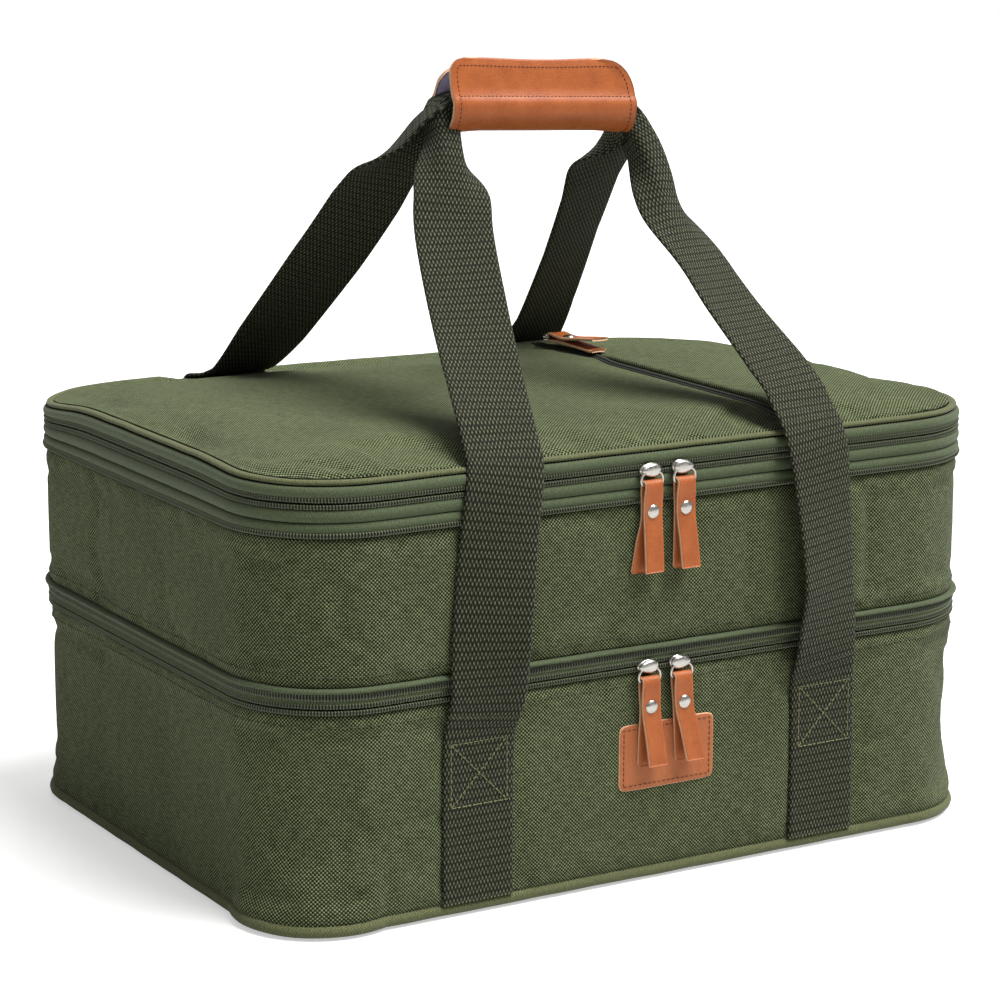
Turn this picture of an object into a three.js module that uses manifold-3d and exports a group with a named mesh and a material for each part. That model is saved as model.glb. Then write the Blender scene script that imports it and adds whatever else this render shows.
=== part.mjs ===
// Expandable two-deck casserole carrier: padded cloth decks, coil zips, webbing handles, leather grip wrap.
// Millimetres, +Z up, +X to the right of the front, origin under the middle of the base.
import * as THREE from 'three';
import { mergeVertices } from 'three/addons/utils/BufferGeometryUtils.js';
import Module from 'manifold-3d';

const wasm = await Module();
wasm.setup();

// Cloth body, outside the walls, and the height of the two zips that part the decks
const bodyWidth = 420;
const bodyDepth = 312;
const cornerRadius = 55;
const lowerZipHeight = 111;
const lidZipHeight = 209.5;

// Layers of a wall and of the floors, and the air left between pieces that touch
const clothThickness = 1.2;
const foamThickness = 5;
const linerThickness = 0.8;
const basePanelThickness = 1.6;
const floorPadThickness = 7;
const dividerThickness = 8;
const rimDrop = 5.5;
const clearance = 0.3;

// Piping round the base and the lid
const basePipingDiameter = 6;
const basePipingLift = 1;
const basePipingInset = 0.8;
const lidPipingDiameter = 4;
const lidPipingInset = 2;

// Coil zips: one half of a chain, and the cloth tape that it is woven to
const chainHalf = 2.75;
const chainProud = 1.4;
const tapeThickness = 1.2;
const raisedTape = 0.4;
const lowerTapeShow = 2.2;
const deckTapeShow = 6.4;
const lidTapeShow = 5;

// Expansion zip, drawn open: one half under a folded ledge, the other at the top of the upper wall
const ledgeChainHeight = 1.5;
const ledgeChainProud = 2;
const ledgeHeight = 3;
const ledgeProud = 3;
const upperChainHeight = 3;
const upperChainProud = 2.2;
const upperTapeShow = 4.3;

// Padded lid
const lidRise = 9;
const lidRiseRun = 62;
const lidFoamThickness = 6;
const lidRimLift = 1;

// Pocket zip in the lid
const pocketZipX = 87;
const pocketZipFront = -140;
const pocketZipBack = 106;
const pocketZipWidth = 8;
const pocketZipThickness = 1;
const pocketSliderY = 90;

// Webbing handles
const webbingWidth = 38;
const webbingThickness = 1.8;
const strapSpacing = 204;
const firstFoldHeight = 90;
const secondFoldHeight = 108.5;
const ledgeSpare = 1.5;
const strapStandOff = 11;
const bendDrawIn = 1.5;
const frontBendRise = 20;
const frontLeanShare = [0.8, 0.54, 0.51];
const backBendRise = 10;
const backLidReach = 46;
const backLidLift = 13;
const backDrawIn = 12;

// Grips, where each webbing is folded in half inside the wrap
const gripHeight = 382;
const gripFold = 16;
const gripThickness = 9.4;
const gripMiddleY = -35;
const gripGap = 2.6;
const gatherDrop = 44;
const gatherSpread = 20;
const gatherLean = 11;

// Leather grip wrap
const wrapLength = 104;
const wrapThickness = 1.5;
const wrapTurnDrop = 11;
const wrapShoulder = 4;
const wrapFrontRise = 20;
const wrapBackRise = 18;
const wrapCornerRadius = 12;
const wrapTopGap = 5.4;
const hookLength = 84;
const hookWidth = 6;
const hookThickness = 1;

// Leather label patch
const labelWidth = 56;
const labelHeight = 34;
const labelThickness = 1.4;
const labelCornerRadius = 2;
const labelMiddleX = 3;
const labelMiddleZ = 65;

// Zip sliders
const sliderLength = 10;
const sliderWidth = 8;
const sliderTail = 6;
const sliderNotch = 1.2;
const sliderThickness = 2.4;
const bridgeWidth = 2.2;
const bridgeReach = 3;
const bridgeWall = 1.1;
const bridgeEye = 2.2;
const pullSpacing = 19;

// D rings and folded leather pulls
const ringWire = 1.3;
const ringWidth = 13.6;
const ringHeight = 9;
const ringCorner = 1;
const tabWidth = 10;
const tabLength = 46;
const leatherThickness = 1.3;
const leafGap = 0.3;
const frontSplay = 3;
const backSplay = 1.5;
const rivetDrop = 15;
const rivetHead = 6.5;
const rivetShank = 2.6;
const rivetDome = 1.3;
const rivetRim = 0.4;
const rivetBack = 0.7;

// Slider and plain metal pull of the expansion zip, parked at the back
const expansionSliderX = 60;
const plainPullLength = 24;
const plainPullWidth = 6;
const plainEyeLength = 4;

// Facets
const cornerSteps = 5;
const crownSteps = 5;
const pipingSides = 8;
const wireSides = 6;
const bendSteps = 4;
const lathSteps = 10;
const strapStep = 9;

// Places worked out from the sizes above
const halfWidth = bodyWidth / 2;
const halfDepth = bodyDepth / 2;
const halfGap = clearance / 2;
const basePipingRadius = basePipingDiameter / 2;
const lidPipingRadius = lidPipingDiameter / 2;
const foamOuter = -clothThickness - clearance;
const foamInner = foamOuter - foamThickness;
const linerOuter = foamInner - clearance;
const basePipingHeight = basePipingLift + basePipingRadius;
const lowerClothBottom = basePipingHeight + basePipingRadius + clearance;
const floorPadBottom = basePanelThickness + clearance;
const lowerFloor = floorPadBottom + floorPadThickness + clearance;
const lowerZipBottom = lowerZipHeight - halfGap;
const lowerZipTop = lowerZipHeight + halfGap;
const lowerChainBottom = lowerZipBottom - chainHalf;
const lowerRim = lowerZipHeight - rimDrop;
const upperFloor = lowerZipTop + dividerThickness + clearance;
const lowerTapeTop = lowerZipTop + chainHalf + lowerTapeShow;
const ledgeChainBottom = lowerTapeTop + clearance;
const ledgeBottom = ledgeChainBottom + ledgeChainHeight + clearance;
const ledgeTop = ledgeBottom + ledgeHeight;
const lidZipBottom = lidZipHeight - halfGap;
const lidZipTop = lidZipHeight + halfGap;
const lidChainBottom = lidZipBottom - chainHalf;
const deckTapeBottom = lidChainBottom - deckTapeShow;
const upperTapeTop = deckTapeBottom - clearance;
const upperChainTop = upperTapeTop - upperTapeShow;
const upperChainBottom = upperChainTop - upperChainHeight;
const upperRim = lidZipHeight - rimDrop;
const lidChainTop = lidZipTop + chainHalf;
const lidTapeTop = lidChainTop + lidTapeShow;
const lidPipingHeight = lidTapeTop + clearance + lidPipingRadius;
const lidEdge = -lidPipingInset - lidPipingRadius - clearance;
const lidClothTop = lidPipingHeight + lidRimLift;
const lidFoamTop = lidClothTop - clothThickness - clearance;
const lidLinerTop = lidFoamTop - lidFoamThickness - clearance;
const gripOffset = (gripGap + gripThickness) / 2;
const wrapInnerHalf = gripOffset + gripThickness / 2 + clearance;
const wrapMiddleHalf = wrapInnerHalf + wrapThickness / 2;
const wrapTurnHeight = gripHeight - wrapTurnDrop;
const gripTop = gripHeight + gripFold / 2 + clearance;
const ringLift = clearance + sliderThickness + bridgeEye / 2;
const ringBar = ringHeight - ringWire;
const tabEyeRadius = ringWire / 2 + clearance;
const leafInset = leafGap / 2;

const looks = {
  heatherCloth: { color: 0x4c5c38, roughness: 0.95 },
  baseCloth: { color: 0x1c1f1a, roughness: 0.95 },
  zipTape: { color: 0x566b46, roughness: 0.85 },
  pipingCloth: { color: 0x6e6a42, roughness: 0.9 },
  foam: { color: 0xdedccf, roughness: 1 },
  liner: { color: 0xb9bdc0, roughness: 0.35, metalness: 0.3 },
  webbing: { color: 0x2c3222, roughness: 0.9 },
  leather: { color: 0xb5652f, roughness: 0.5 },
  nickel: { color: 0xc4c2bd, roughness: 0.22, metalness: 1 },
  hookTape: { color: 0x8d86a0, roughness: 1 },
};

const carrier = new THREE.Group();

function addPiece(name, geometry, look, parent = carrier) {
  const mesh = new THREE.Mesh(geometry, new THREE.MeshStandardMaterial(looks[look]));
  mesh.name = name;
  parent.add(mesh);
}

// A closed body from points and triangles, turned so that its faces point out
function facingOut(points, triangles) {
  let volume = 0;
  for (const [a, b, c] of triangles) {
    volume += points[a].dot(points[b].clone().cross(points[c]));
  }
  const faces = volume < 0 ? triangles.map(([a, b, c]) => [a, c, b]) : triangles;
  const geometry = new THREE.BufferGeometry().setFromPoints(points);
  geometry.setIndex(faces.flat());
  geometry.computeVertexNormals();
  return geometry;
}

// A skin over a row of sections with equal point counts, joined into a ring or capped at both ends
function loft(sections, closed = false) {
  const count = sections[0].length;
  const spans = closed ? sections.length : sections.length - 1;
  const triangles = [];
  for (let i = 0; i < spans; i++) {
    const here = i * count;
    const next = ((i + 1) % sections.length) * count;
    for (let j = 0; j < count; j++) {
      const k = (j + 1) % count;
      triangles.push([here + j, next + j, next + k], [here + j, next + k, here + k]);
    }
  }
  if (!closed) {
    const last = (sections.length - 1) * count;
    for (let j = 1; j < count - 1; j++) {
      triangles.push([0, j, j + 1], [last, last + j + 1, last + j]);
    }
  }
  return facingOut(sections.flat(), triangles);
}

// The body's rounded rectangle, grown outwards, as a row of [x, y] stations
function outline(grow) {
  const radius = Math.max(cornerRadius + grow, clearance);
  const reachX = halfWidth + grow - radius;
  const reachY = halfDepth + grow - radius;
  const corners = [[1, -1], [1, 1], [-1, 1], [-1, -1]];
  return corners.flatMap(([sideX, sideY], corner) =>
    Array.from({ length: cornerSteps + 1 }, (_, i) => {
      const angle = (corner - 1 + i / cornerSteps) * Math.PI / 2;
      return [sideX * reachX + radius * Math.cos(angle), sideY * reachY + radius * Math.sin(angle)];
    }));
}

// A profile of [grow, height] pairs set up at every station round the body
function columnsRound(profile) {
  const rings = profile.map(([grow, height]) =>
    outline(grow).map(([x, y]) => new THREE.Vector3(x, y, height)));
  return rings[0].map((_, station) => rings.map((ring) => ring[station]));
}

// A closed profile carried round the body: walls, zip halves and piping
function bandRound(profile) {
  return loft(columnsRound(profile), true);
}

// A profile from the edge of an underside to the edge of a top side, both closed by flat panels
function panelSolid(profile) {
  const columns = columnsRound(profile);
  const points = columns.flat();
  const count = profile.length;
  const under = points.length;
  const over = under + 1;
  points.push(new THREE.Vector3(0, 0, profile[0][1]), new THREE.Vector3(0, 0, profile[count - 1][1]));
  const triangles = [];
  for (let i = 0; i < columns.length; i++) {
    const here = i * count;
    const next = ((i + 1) % columns.length) * count;
    for (let j = 0; j < count - 1; j++) {
      triangles.push([here + j, next + j, next + j + 1], [here + j, next + j + 1, here + j + 1]);
    }
    triangles.push([under, next, here], [over, here + count - 1, next + count - 1]);
  }
  return facingOut(points, triangles);
}

function rectangle(inner, outer, bottom, top) {
  return [[inner, bottom], [outer, bottom], [outer, top], [inner, top]];
}

function pipingSection(radius, grow, height) {
  return Array.from({ length: pipingSides }, (_, i) => {
    const angle = (i / pipingSides) * 2 * Math.PI;
    return [grow + radius * Math.cos(angle), height + radius * Math.sin(angle)];
  });
}

function slab(edge, bottom, top) {
  return panelSolid([[edge, bottom], [edge, top]]);
}

function tub(outer, wall, bottom, top) {
  return panelSolid([[outer, bottom], [outer, top], [outer - wall, top], [outer - wall, bottom + wall]]);
}

// How far the lid has risen at a distance in from its edge
function crownRise(inward) {
  const share = Math.min(Math.max(inward / lidRiseRun, 0), 1);
  return lidRise * (1 - (1 - share) ** 2);
}

function crownProfile(edgeHeight) {
  return Array.from({ length: crownSteps + 1 }, (_, i) => {
    const inward = (i / crownSteps) * lidRiseRun;
    return [lidEdge - inward, edgeHeight + crownRise(inward)];
  });
}

// A crowned sheet: out along its underside to the edge, and back over its top
function crownedSheet(top, thickness) {
  return panelSolid([...crownProfile(top - thickness).reverse(), ...crownProfile(top)]);
}

function toSolid(geometry) {
  const bare = geometry.clone();
  bare.deleteAttribute('normal');
  bare.deleteAttribute('uv');
  const merged = mergeVertices(bare);
  return new wasm.Manifold(new wasm.Mesh({
    numProp: 3,
    vertProperties: Float32Array.from(merged.attributes.position.array),
    triVerts: Uint32Array.from(merged.index.array),
  }));
}

function toGeometry(solid) {
  const mesh = solid.getMesh();
  const geometry = new THREE.BufferGeometry();
  geometry.setAttribute('position', new THREE.BufferAttribute(Float32Array.from(mesh.vertProperties), 3));
  geometry.setIndex(Array.from(mesh.triVerts));
  geometry.computeVertexNormals();
  return geometry;
}

function extrude(shape, depth) {
  return new THREE.ExtrudeGeometry(shape, { depth, bevelEnabled: false, curveSegments: bendSteps });
}

// A plate drawn in x and z, with its back on y = 0 and its thickness towards the front
function uprightPlate(shape, thickness) {
  return extrude(shape, thickness).rotateX(Math.PI / 2);
}

// A section drawn in y and z, carried along x about its middle
function alongX(shape, length) {
  const turn = new THREE.Matrix4().makeBasis(
    new THREE.Vector3(0, 1, 0),
    new THREE.Vector3(0, 0, 1),
    new THREE.Vector3(1, 0, 0),
  );
  return extrude(shape, length).translate(0, 0, -length / 2).applyMatrix4(turn);
}

function roundedPlate(width, bottom, top, bottomRadius, topRadius) {
  const shape = new THREE.Shape();
  const side = width / 2;
  shape.moveTo(-side + bottomRadius, bottom);
  shape.lineTo(side - bottomRadius, bottom);
  shape.quadraticCurveTo(side, bottom, side, bottom + bottomRadius);
  shape.lineTo(side, top - topRadius);
  shape.quadraticCurveTo(side, top, side - topRadius, top);
  shape.lineTo(-side + topRadius, top);
  shape.quadraticCurveTo(-side, top, -side, top - topRadius);
  shape.lineTo(-side, bottom + bottomRadius);
  shape.quadraticCurveTo(-side, bottom, -side + bottomRadius, bottom);
  return shape;
}

// The base panel stops short of the piping that runs round it
function basePanelEdge() {
  const drop = Math.max(basePipingHeight - basePanelThickness, 0);
  const halfChord = Math.sqrt(Math.max(basePipingRadius ** 2 - drop ** 2, 0));
  return -basePipingInset - halfChord - clearance;
}

function buildBase() {
  addPiece('base_panel', slab(basePanelEdge(), 0, basePanelThickness), 'baseCloth');
  const piping = pipingSection(basePipingRadius, -basePipingInset, basePipingHeight);
  addPiece('base_piping', bandRound(piping), 'pipingCloth');
  const clothTop = lowerChainBottom - clearance;
  const cloth = rectangle(-clothThickness, 0, lowerClothBottom, clothTop);
  addPiece('lower_outer_wall', bandRound(cloth), 'heatherCloth');
  const foam = rectangle(foamInner, foamOuter, lowerClothBottom, lowerRim);
  addPiece('lower_foam_wall', bandRound(foam), 'foam');
  addPiece('lower_foam_floor', slab(linerOuter, floorPadBottom, floorPadBottom + floorPadThickness), 'foam');
  addPiece('lower_liner', tub(linerOuter, linerThickness, lowerFloor, lowerRim), 'liner');
  const tapeInner = foamOuter - tapeThickness;
  addPiece('lower_zip_base_half', bandRound([
    [tapeInner, lowerRim + clearance],
    [foamOuter, lowerRim + clearance],
    [foamOuter, lowerChainBottom],
    [chainProud, lowerChainBottom],
    [chainProud, lowerZipBottom],
    [tapeInner, lowerZipBottom],
  ]), 'zipTape');
  const patch = roundedPlate(labelWidth, -labelHeight / 2, labelHeight / 2, labelCornerRadius, labelCornerRadius);
  const label = uprightPlate(patch, labelThickness);
  addPiece('label_patch', label.translate(labelMiddleX, -halfDepth - clearance, labelMiddleZ), 'leather');
}

function buildUpperDeck() {
  addPiece('divider_pad', slab(linerOuter, lowerZipTop, lowerZipTop + dividerThickness), 'foam');
  addPiece('upper_foam_wall', bandRound(rectangle(foamInner, foamOuter, lowerZipTop, upperRim)), 'foam');
  addPiece('upper_liner', tub(linerOuter, linerThickness, upperFloor, upperRim), 'liner');
  const cloth = rectangle(-clothThickness, 0, ledgeTop + clearance, upperChainBottom - clearance);
  addPiece('upper_outer_wall', bandRound(cloth), 'heatherCloth');
  addPiece('lower_zip_deck_half', bandRound([
    [-tapeThickness, lowerZipTop],
    [chainProud, lowerZipTop],
    [chainProud, lowerZipTop + chainHalf],
    [0, lowerZipTop + chainHalf],
    [0, lowerTapeTop],
    [-tapeThickness, lowerTapeTop],
  ]), 'zipTape');
  const ledgeChainTop = ledgeChainBottom + ledgeChainHeight;
  const ledgeChain = rectangle(-tapeThickness, ledgeChainProud, ledgeChainBottom, ledgeChainTop);
  addPiece('expansion_zip_lower_half', bandRound(ledgeChain), 'zipTape');
  addPiece('expansion_ledge', bandRound(rectangle(-tapeThickness, ledgeProud, ledgeBottom, ledgeTop)), 'zipTape');
  addPiece('expansion_zip_upper_half', bandRound([
    [-tapeThickness, upperChainBottom],
    [upperChainProud, upperChainBottom],
    [upperChainProud, upperChainTop],
    [raisedTape, upperChainTop],
    [raisedTape, upperTapeTop],
    [-tapeThickness, upperTapeTop],
  ]), 'zipTape');
  addPiece('lid_zip_deck_half', bandRound([
    [-tapeThickness, deckTapeBottom],
    [raisedTape, deckTapeBottom],
    [raisedTape, lidChainBottom],
    [chainProud, lidChainBottom],
    [chainProud, lidZipBottom],
    [-tapeThickness, lidZipBottom],
  ]), 'zipTape');
}

function buildLid() {
  addPiece('lid_zip_lid_half', bandRound([
    [-tapeThickness, lidZipTop],
    [chainProud, lidZipTop],
    [chainProud, lidChainTop],
    [raisedTape, lidChainTop],
    [raisedTape, lidTapeTop],
    [-tapeThickness, lidTapeTop],
  ]), 'zipTape');
  const piping = pipingSection(lidPipingRadius, -lidPipingInset, lidPipingHeight);
  addPiece('lid_piping', bandRound(piping), 'pipingCloth');
  addPiece('lid_outer', crownedSheet(lidClothTop, clothThickness), 'heatherCloth');
  addPiece('lid_foam', crownedSheet(lidFoamTop, lidFoamThickness), 'foam');
  addPiece('lid_liner', crownedSheet(lidLinerTop, linerThickness), 'liner');
  addPiece('pocket_zip', pocketZip(), 'zipTape');
}

// A flat band through stations of { point, along, normal, width, thickness }
function ribbon(stations) {
  return loft(stations.map(({ point, along, normal, width, thickness }) => {
    const across = along.clone().cross(normal).setLength(width / 2);
    const out = across.clone().cross(along).setLength(thickness / 2);
    return [[-1, -1], [1, -1], [1, 1], [-1, 1]].map(([side, face]) =>
      point.clone().addScaledVector(across, side).addScaledVector(out, face));
  }));
}

// The pocket zip lies on the lid's crown from near its front edge to near its back edge
function pocketZip() {
  const steps = Math.ceil((pocketZipBack - pocketZipFront) / strapStep);
  const stations = Array.from({ length: steps + 1 }, (_, i) => {
    const y = pocketZipFront + (i / steps) * (pocketZipBack - pocketZipFront);
    const lidSurface = lidClothTop + crownRise(halfDepth + lidEdge - Math.abs(y));
    return {
      point: new THREE.Vector3(pocketZipX, y, lidSurface + clearance + pocketZipThickness / 2),
      along: new THREE.Vector3(0, 1, 0),
      normal: new THREE.Vector3(0, 0, 1),
      width: pocketZipWidth,
      thickness: pocketZipThickness,
    };
  });
  return ribbon(stations);
}

// The left leg of a handle from its first fold to the middle of its grip; side is -1 in front, 1 behind
function strapPath(side) {
  const legX = -strapSpacing / 2;
  const wrapEnd = -wrapLength / 2;
  const gripY = gripMiddleY + side * gripOffset;
  const sewn = clearance + webbingThickness / 2;
  const pastLedge = ledgeProud + ledgeSpare + webbingThickness / 2;
  const at = (x, out, z) => new THREE.Vector3(x, side * (halfDepth + out), z);
  const gather = new THREE.Vector3(wrapEnd - gatherSpread, gripY + side * gatherLean, gripHeight - gatherDrop);
  const frontBend = at(legX, strapStandOff, lidPipingHeight + frontBendRise);
  const lean = frontLeanShare.map((share, axis) =>
    THREE.MathUtils.lerp(frontBend.getComponent(axis), gather.getComponent(axis), share));
  const overLid = side < 0
    ? [
      at(legX + bendDrawIn, strapStandOff - bendDrawIn, lidPipingHeight + frontBendRise),
      new THREE.Vector3(...lean),
    ]
    : [
      at(legX, strapStandOff - bendDrawIn, lidPipingHeight + backBendRise),
      at(legX, 0, lidPipingHeight + (backBendRise + backLidLift) / 2),
      at(legX + backDrawIn, -backLidReach, lidPipingHeight + backLidLift),
    ];
  return new THREE.CatmullRomCurve3([
    at(legX, sewn, firstFoldHeight),
    at(legX, pastLedge, (ledgeBottom + ledgeTop) / 2),
    at(legX, strapStandOff, lidPipingHeight),
    ...overLid,
    gather,
    new THREE.Vector3(wrapEnd - gatherSpread * 0.6, gripY + side * gatherLean / 3, gripHeight - gatherDrop / 2),
    new THREE.Vector3(wrapEnd - gatherSpread * 0.3, gripY, gripHeight - gatherDrop / 12),
    new THREE.Vector3(wrapEnd + gripFold / 2, gripY, gripHeight),
    new THREE.Vector3(0, gripY, gripHeight),
  ], false, 'centripetal');
}

// Where a leg passes a height on its way up the wall
function shareAtHeight(path, height) {
  let low = 0;
  let high = 0.5;
  while (high - low > 1e-6) {
    const middle = (low + high) / 2;
    if (path.getPointAt(middle).z < height) low = middle;
    else high = middle;
  }
  return low;
}

// One place along a leg: flat webbing that gathers into the folded grip near the wrap
function strapStation(path, share, side) {
  const point = path.getPointAt(share);
  const along = path.getTangentAt(share);
  const gathered = THREE.MathUtils.smoothstep(point.z, gripHeight - gatherDrop, gripHeight - gatherDrop / 8);
  const faceOut = new THREE.Vector3(0, side * along.z, -side * along.y).normalize();
  return {
    point,
    along,
    normal: faceOut.lerp(new THREE.Vector3(0, side, 0), gathered),
    width: THREE.MathUtils.lerp(webbingWidth, gripFold, gathered),
    thickness: THREE.MathUtils.lerp(webbingThickness, gripThickness, gathered),
  };
}

function strapStations(path, from, to, side) {
  const steps = Math.max(Math.ceil((to - from) * path.getLength() / strapStep), 2);
  return Array.from({ length: steps + 1 }, (_, i) => strapStation(path, from + (i / steps) * (to - from), side));
}

function mirrored(stations) {
  const flip = new THREE.Vector3(-1, 1, 1);
  return stations.map((station) => ({
    ...station,
    point: station.point.clone().multiply(flip),
    along: station.along.clone().multiply(flip).negate(),
    normal: station.normal.clone().multiply(flip),
  })).reverse();
}

// The end of a leg that is sewn flat on the lower wall, between the piping and the stitched box
function sewnEnd(side) {
  const out = side * (halfDepth + clearance + webbingThickness / 2);
  return [lowerClothBottom, firstFoldHeight - halfGap].map((z) => ({
    point: new THREE.Vector3(-strapSpacing / 2, out, z),
    along: new THREE.Vector3(0, 0, 1),
    normal: new THREE.Vector3(0, side, 0),
    width: webbingWidth,
    thickness: webbingThickness,
  }));
}

function buildHandles() {
  for (const [place, side] of [['front', -1], ['back', 1]]) {
    const path = strapPath(side);
    const firstFold = shareAtHeight(path, firstFoldHeight + halfGap);
    const legTop = shareAtHeight(path, secondFoldHeight - halfGap);
    const loopBottom = shareAtHeight(path, secondFoldHeight + halfGap);
    const leg = strapStations(path, firstFold, legTop, side);
    const halfLoop = strapStations(path, loopBottom, 1, side);
    addPiece(`${place}_left_strap_end`, ribbon(sewnEnd(side)), 'webbing');
    addPiece(`${place}_right_strap_end`, ribbon(mirrored(sewnEnd(side))), 'webbing');
    addPiece(`${place}_left_leg`, ribbon(leg), 'webbing');
    addPiece(`${place}_right_leg`, ribbon(mirrored(leg)), 'webbing');
    addPiece(`${place}_loop`, ribbon([...halfLoop, ...mirrored(halfLoop).slice(1)]), 'webbing');
  }
}

// A strip of even thickness about a line of [y, z] points
function stripShape(line, thickness) {
  const points = line.map(([y, z]) => new THREE.Vector2(y, z));
  const edge = (face) => points.map((point, i) => {
    const before = points[Math.max(i - 1, 0)];
    const after = points[Math.min(i + 1, points.length - 1)];
    const along = after.clone().sub(before).normalize();
    const normal = new THREE.Vector2(-along.y, along.x);
    return point.clone().addScaledVector(normal, face * thickness / 2);
  });
  return new THREE.Shape([...edge(1), ...edge(-1).reverse()]);
}

// One flap of the wrap: up the side of the grips, then leaning in over them; side is -1 in front, 1 behind
function flapLine(side, top) {
  const out = (reach) => gripMiddleY + side * reach;
  return [
    [out(wrapMiddleHalf), wrapTurnHeight + halfGap],
    [out(wrapMiddleHalf), gripTop],
    [out(wrapMiddleHalf - wrapThickness), gripTop + wrapShoulder],
    [out(wrapTopGap / 2), top],
  ];
}

function flap(side, top) {
  const strip = toSolid(alongX(stripShape(flapLine(side, top), wrapThickness), wrapLength));
  const cutOut = roundedPlate(wrapLength, wrapTurnHeight, top + wrapThickness, clearance, wrapCornerRadius);
  const reach = wrapMiddleHalf * 4;
  const cutter = uprightPlate(cutOut, reach).translate(0, gripMiddleY + reach / 2, 0);
  return toGeometry(strip.intersect(toSolid(cutter)));
}

// A strip of hook or loop tape on the inner face of a flap's leaning top
function closureStrip(side, top) {
  const [shoulder, edge] = flapLine(side, top).slice(-2).map(([y, z]) => new THREE.Vector2(y, z));
  const down = shoulder.clone().sub(edge).normalize();
  const inward = new THREE.Vector2(-side * -down.y, -side * down.x);
  const lift = wrapThickness / 2 + clearance + hookThickness / 2;
  const start = edge.clone().addScaledVector(down, hookWidth / 4).addScaledVector(inward, lift);
  const end = start.clone().addScaledVector(down, hookWidth);
  const line = [start, end].map((point) => point.toArray());
  return alongX(stripShape(line, hookThickness), hookLength);
}

function buildWrap() {
  const turn = Array.from({ length: bendSteps * 2 + 1 }, (_, i) => {
    const angle = Math.PI + (i / (bendSteps * 2)) * Math.PI;
    return [gripMiddleY + wrapMiddleHalf * Math.cos(angle), wrapTurnHeight + wrapMiddleHalf * Math.sin(angle)];
  });
  addPiece('wrap_front_flap', flap(-1, gripHeight + wrapFrontRise), 'leather');
  addPiece('wrap_fold', alongX(stripShape(turn, wrapThickness), wrapLength).translate(0, 0, -halfGap), 'leather');
  addPiece('wrap_back_flap', flap(1, gripHeight + wrapBackRise), 'leather');
  addPiece('hook_strip', closureStrip(-1, gripHeight + wrapFrontRise), 'hookTape');
  addPiece('loop_strip', closureStrip(1, gripHeight + wrapBackRise), 'hookTape');
}

// A slider: a plate with a split nose, and a bridge that holds the pull; lengthwise turns the plate
function sliderBody(lengthwise) {
  const nose = sliderLength / 2;
  const side = sliderWidth / 2;
  const plan = new THREE.Shape();
  plan.moveTo(-nose, -sliderTail / 2);
  plan.lineTo(0, -side);
  plan.quadraticCurveTo(nose, -side, nose, -side / 2);
  plan.lineTo(nose - sliderNotch, 0);
  plan.lineTo(nose, side / 2);
  plan.quadraticCurveTo(nose, side, 0, side);
  plan.lineTo(-nose, sliderTail / 2);
  const plate = uprightPlate(plan, sliderThickness);
  if (lengthwise) plate.rotateY(Math.PI / 2);
  const root = -sliderThickness / 2;
  const eye = -sliderThickness - bridgeEye;
  const crest = eye - bridgeWall;
  const foot = bridgeReach - bridgeWall;
  const arch = new THREE.Shape([
    [root, -bridgeReach], [eye, -bridgeReach], [crest, -foot], [crest, foot], [eye, bridgeReach],
    [root, bridgeReach], [root, foot], [eye, foot], [eye, -foot], [root, -foot],
  ].map(([y, z]) => new THREE.Vector2(y, z)));
  const joined = toSolid(plate).add(toSolid(alongX(arch, bridgeWidth)));
  return toGeometry(joined).translate(0, -clearance, 0);
}

// A D ring of round wire, hanging from the middle of its bow
function pullRing() {
  const side = (ringWidth - ringWire) / 2;
  const bow = ringBar * 0.6;
  const path = new THREE.Path();
  path.moveTo(side, -ringBar + ringCorner);
  path.lineTo(side, -bow);
  path.absellipse(0, -bow, side, bow, 0, Math.PI, false);
  path.lineTo(-side, -ringBar + ringCorner);
  path.quadraticCurveTo(-side, -ringBar, -side + ringCorner, -ringBar);
  path.lineTo(side - ringCorner, -ringBar);
  path.quadraticCurveTo(side, -ringBar, side, -ringBar + ringCorner);
  const line = path.getPoints(bendSteps).slice(0, -1);
  return loft(line.map((point, i) => {
    const before = line[(i + line.length - 1) % line.length];
    const after = line[(i + 1) % line.length];
    const along = after.clone().sub(before).normalize();
    return Array.from({ length: wireSides }, (_, j) => {
      const angle = (j / wireSides) * 2 * Math.PI;
      const reach = (ringWire / 2) * Math.cos(angle);
      const lift = (ringWire / 2) * Math.sin(angle);
      return new THREE.Vector3(point.x + reach * along.y, lift, point.y - reach * along.x);
    });
  }), true);
}

// A leather strip folded over the ring's bar, its two leaves splayed below the rivet
function pullTab() {
  const bar = -ringBar;
  const rivet = bar - rivetDrop;
  const end = bar - tabLength;
  const outer = tabEyeRadius + leatherThickness;
  const shape = new THREE.Shape();
  shape.moveTo(-frontSplay - leatherThickness, end);
  shape.lineTo(-leafInset - leatherThickness, rivet);
  shape.lineTo(-outer, bar);
  shape.absarc(0, bar, outer, Math.PI, 0, true);
  shape.lineTo(leafInset + leatherThickness, rivet);
  shape.lineTo(backSplay + leatherThickness, end);
  shape.lineTo(backSplay, end);
  shape.lineTo(leafInset, rivet);
  shape.lineTo(tabEyeRadius, bar);
  shape.absarc(0, bar, tabEyeRadius, 0, Math.PI, false);
  shape.lineTo(-leafInset, rivet);
  shape.lineTo(-frontSplay, end);
  const holeRadius = rivetShank / 2 + clearance;
  const hole = new THREE.CylinderGeometry(holeRadius, holeRadius, tabWidth, lathSteps).translate(0, 0, rivet);
  return toGeometry(toSolid(alongX(shape, tabWidth)).subtract(toSolid(hole)));
}

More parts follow.
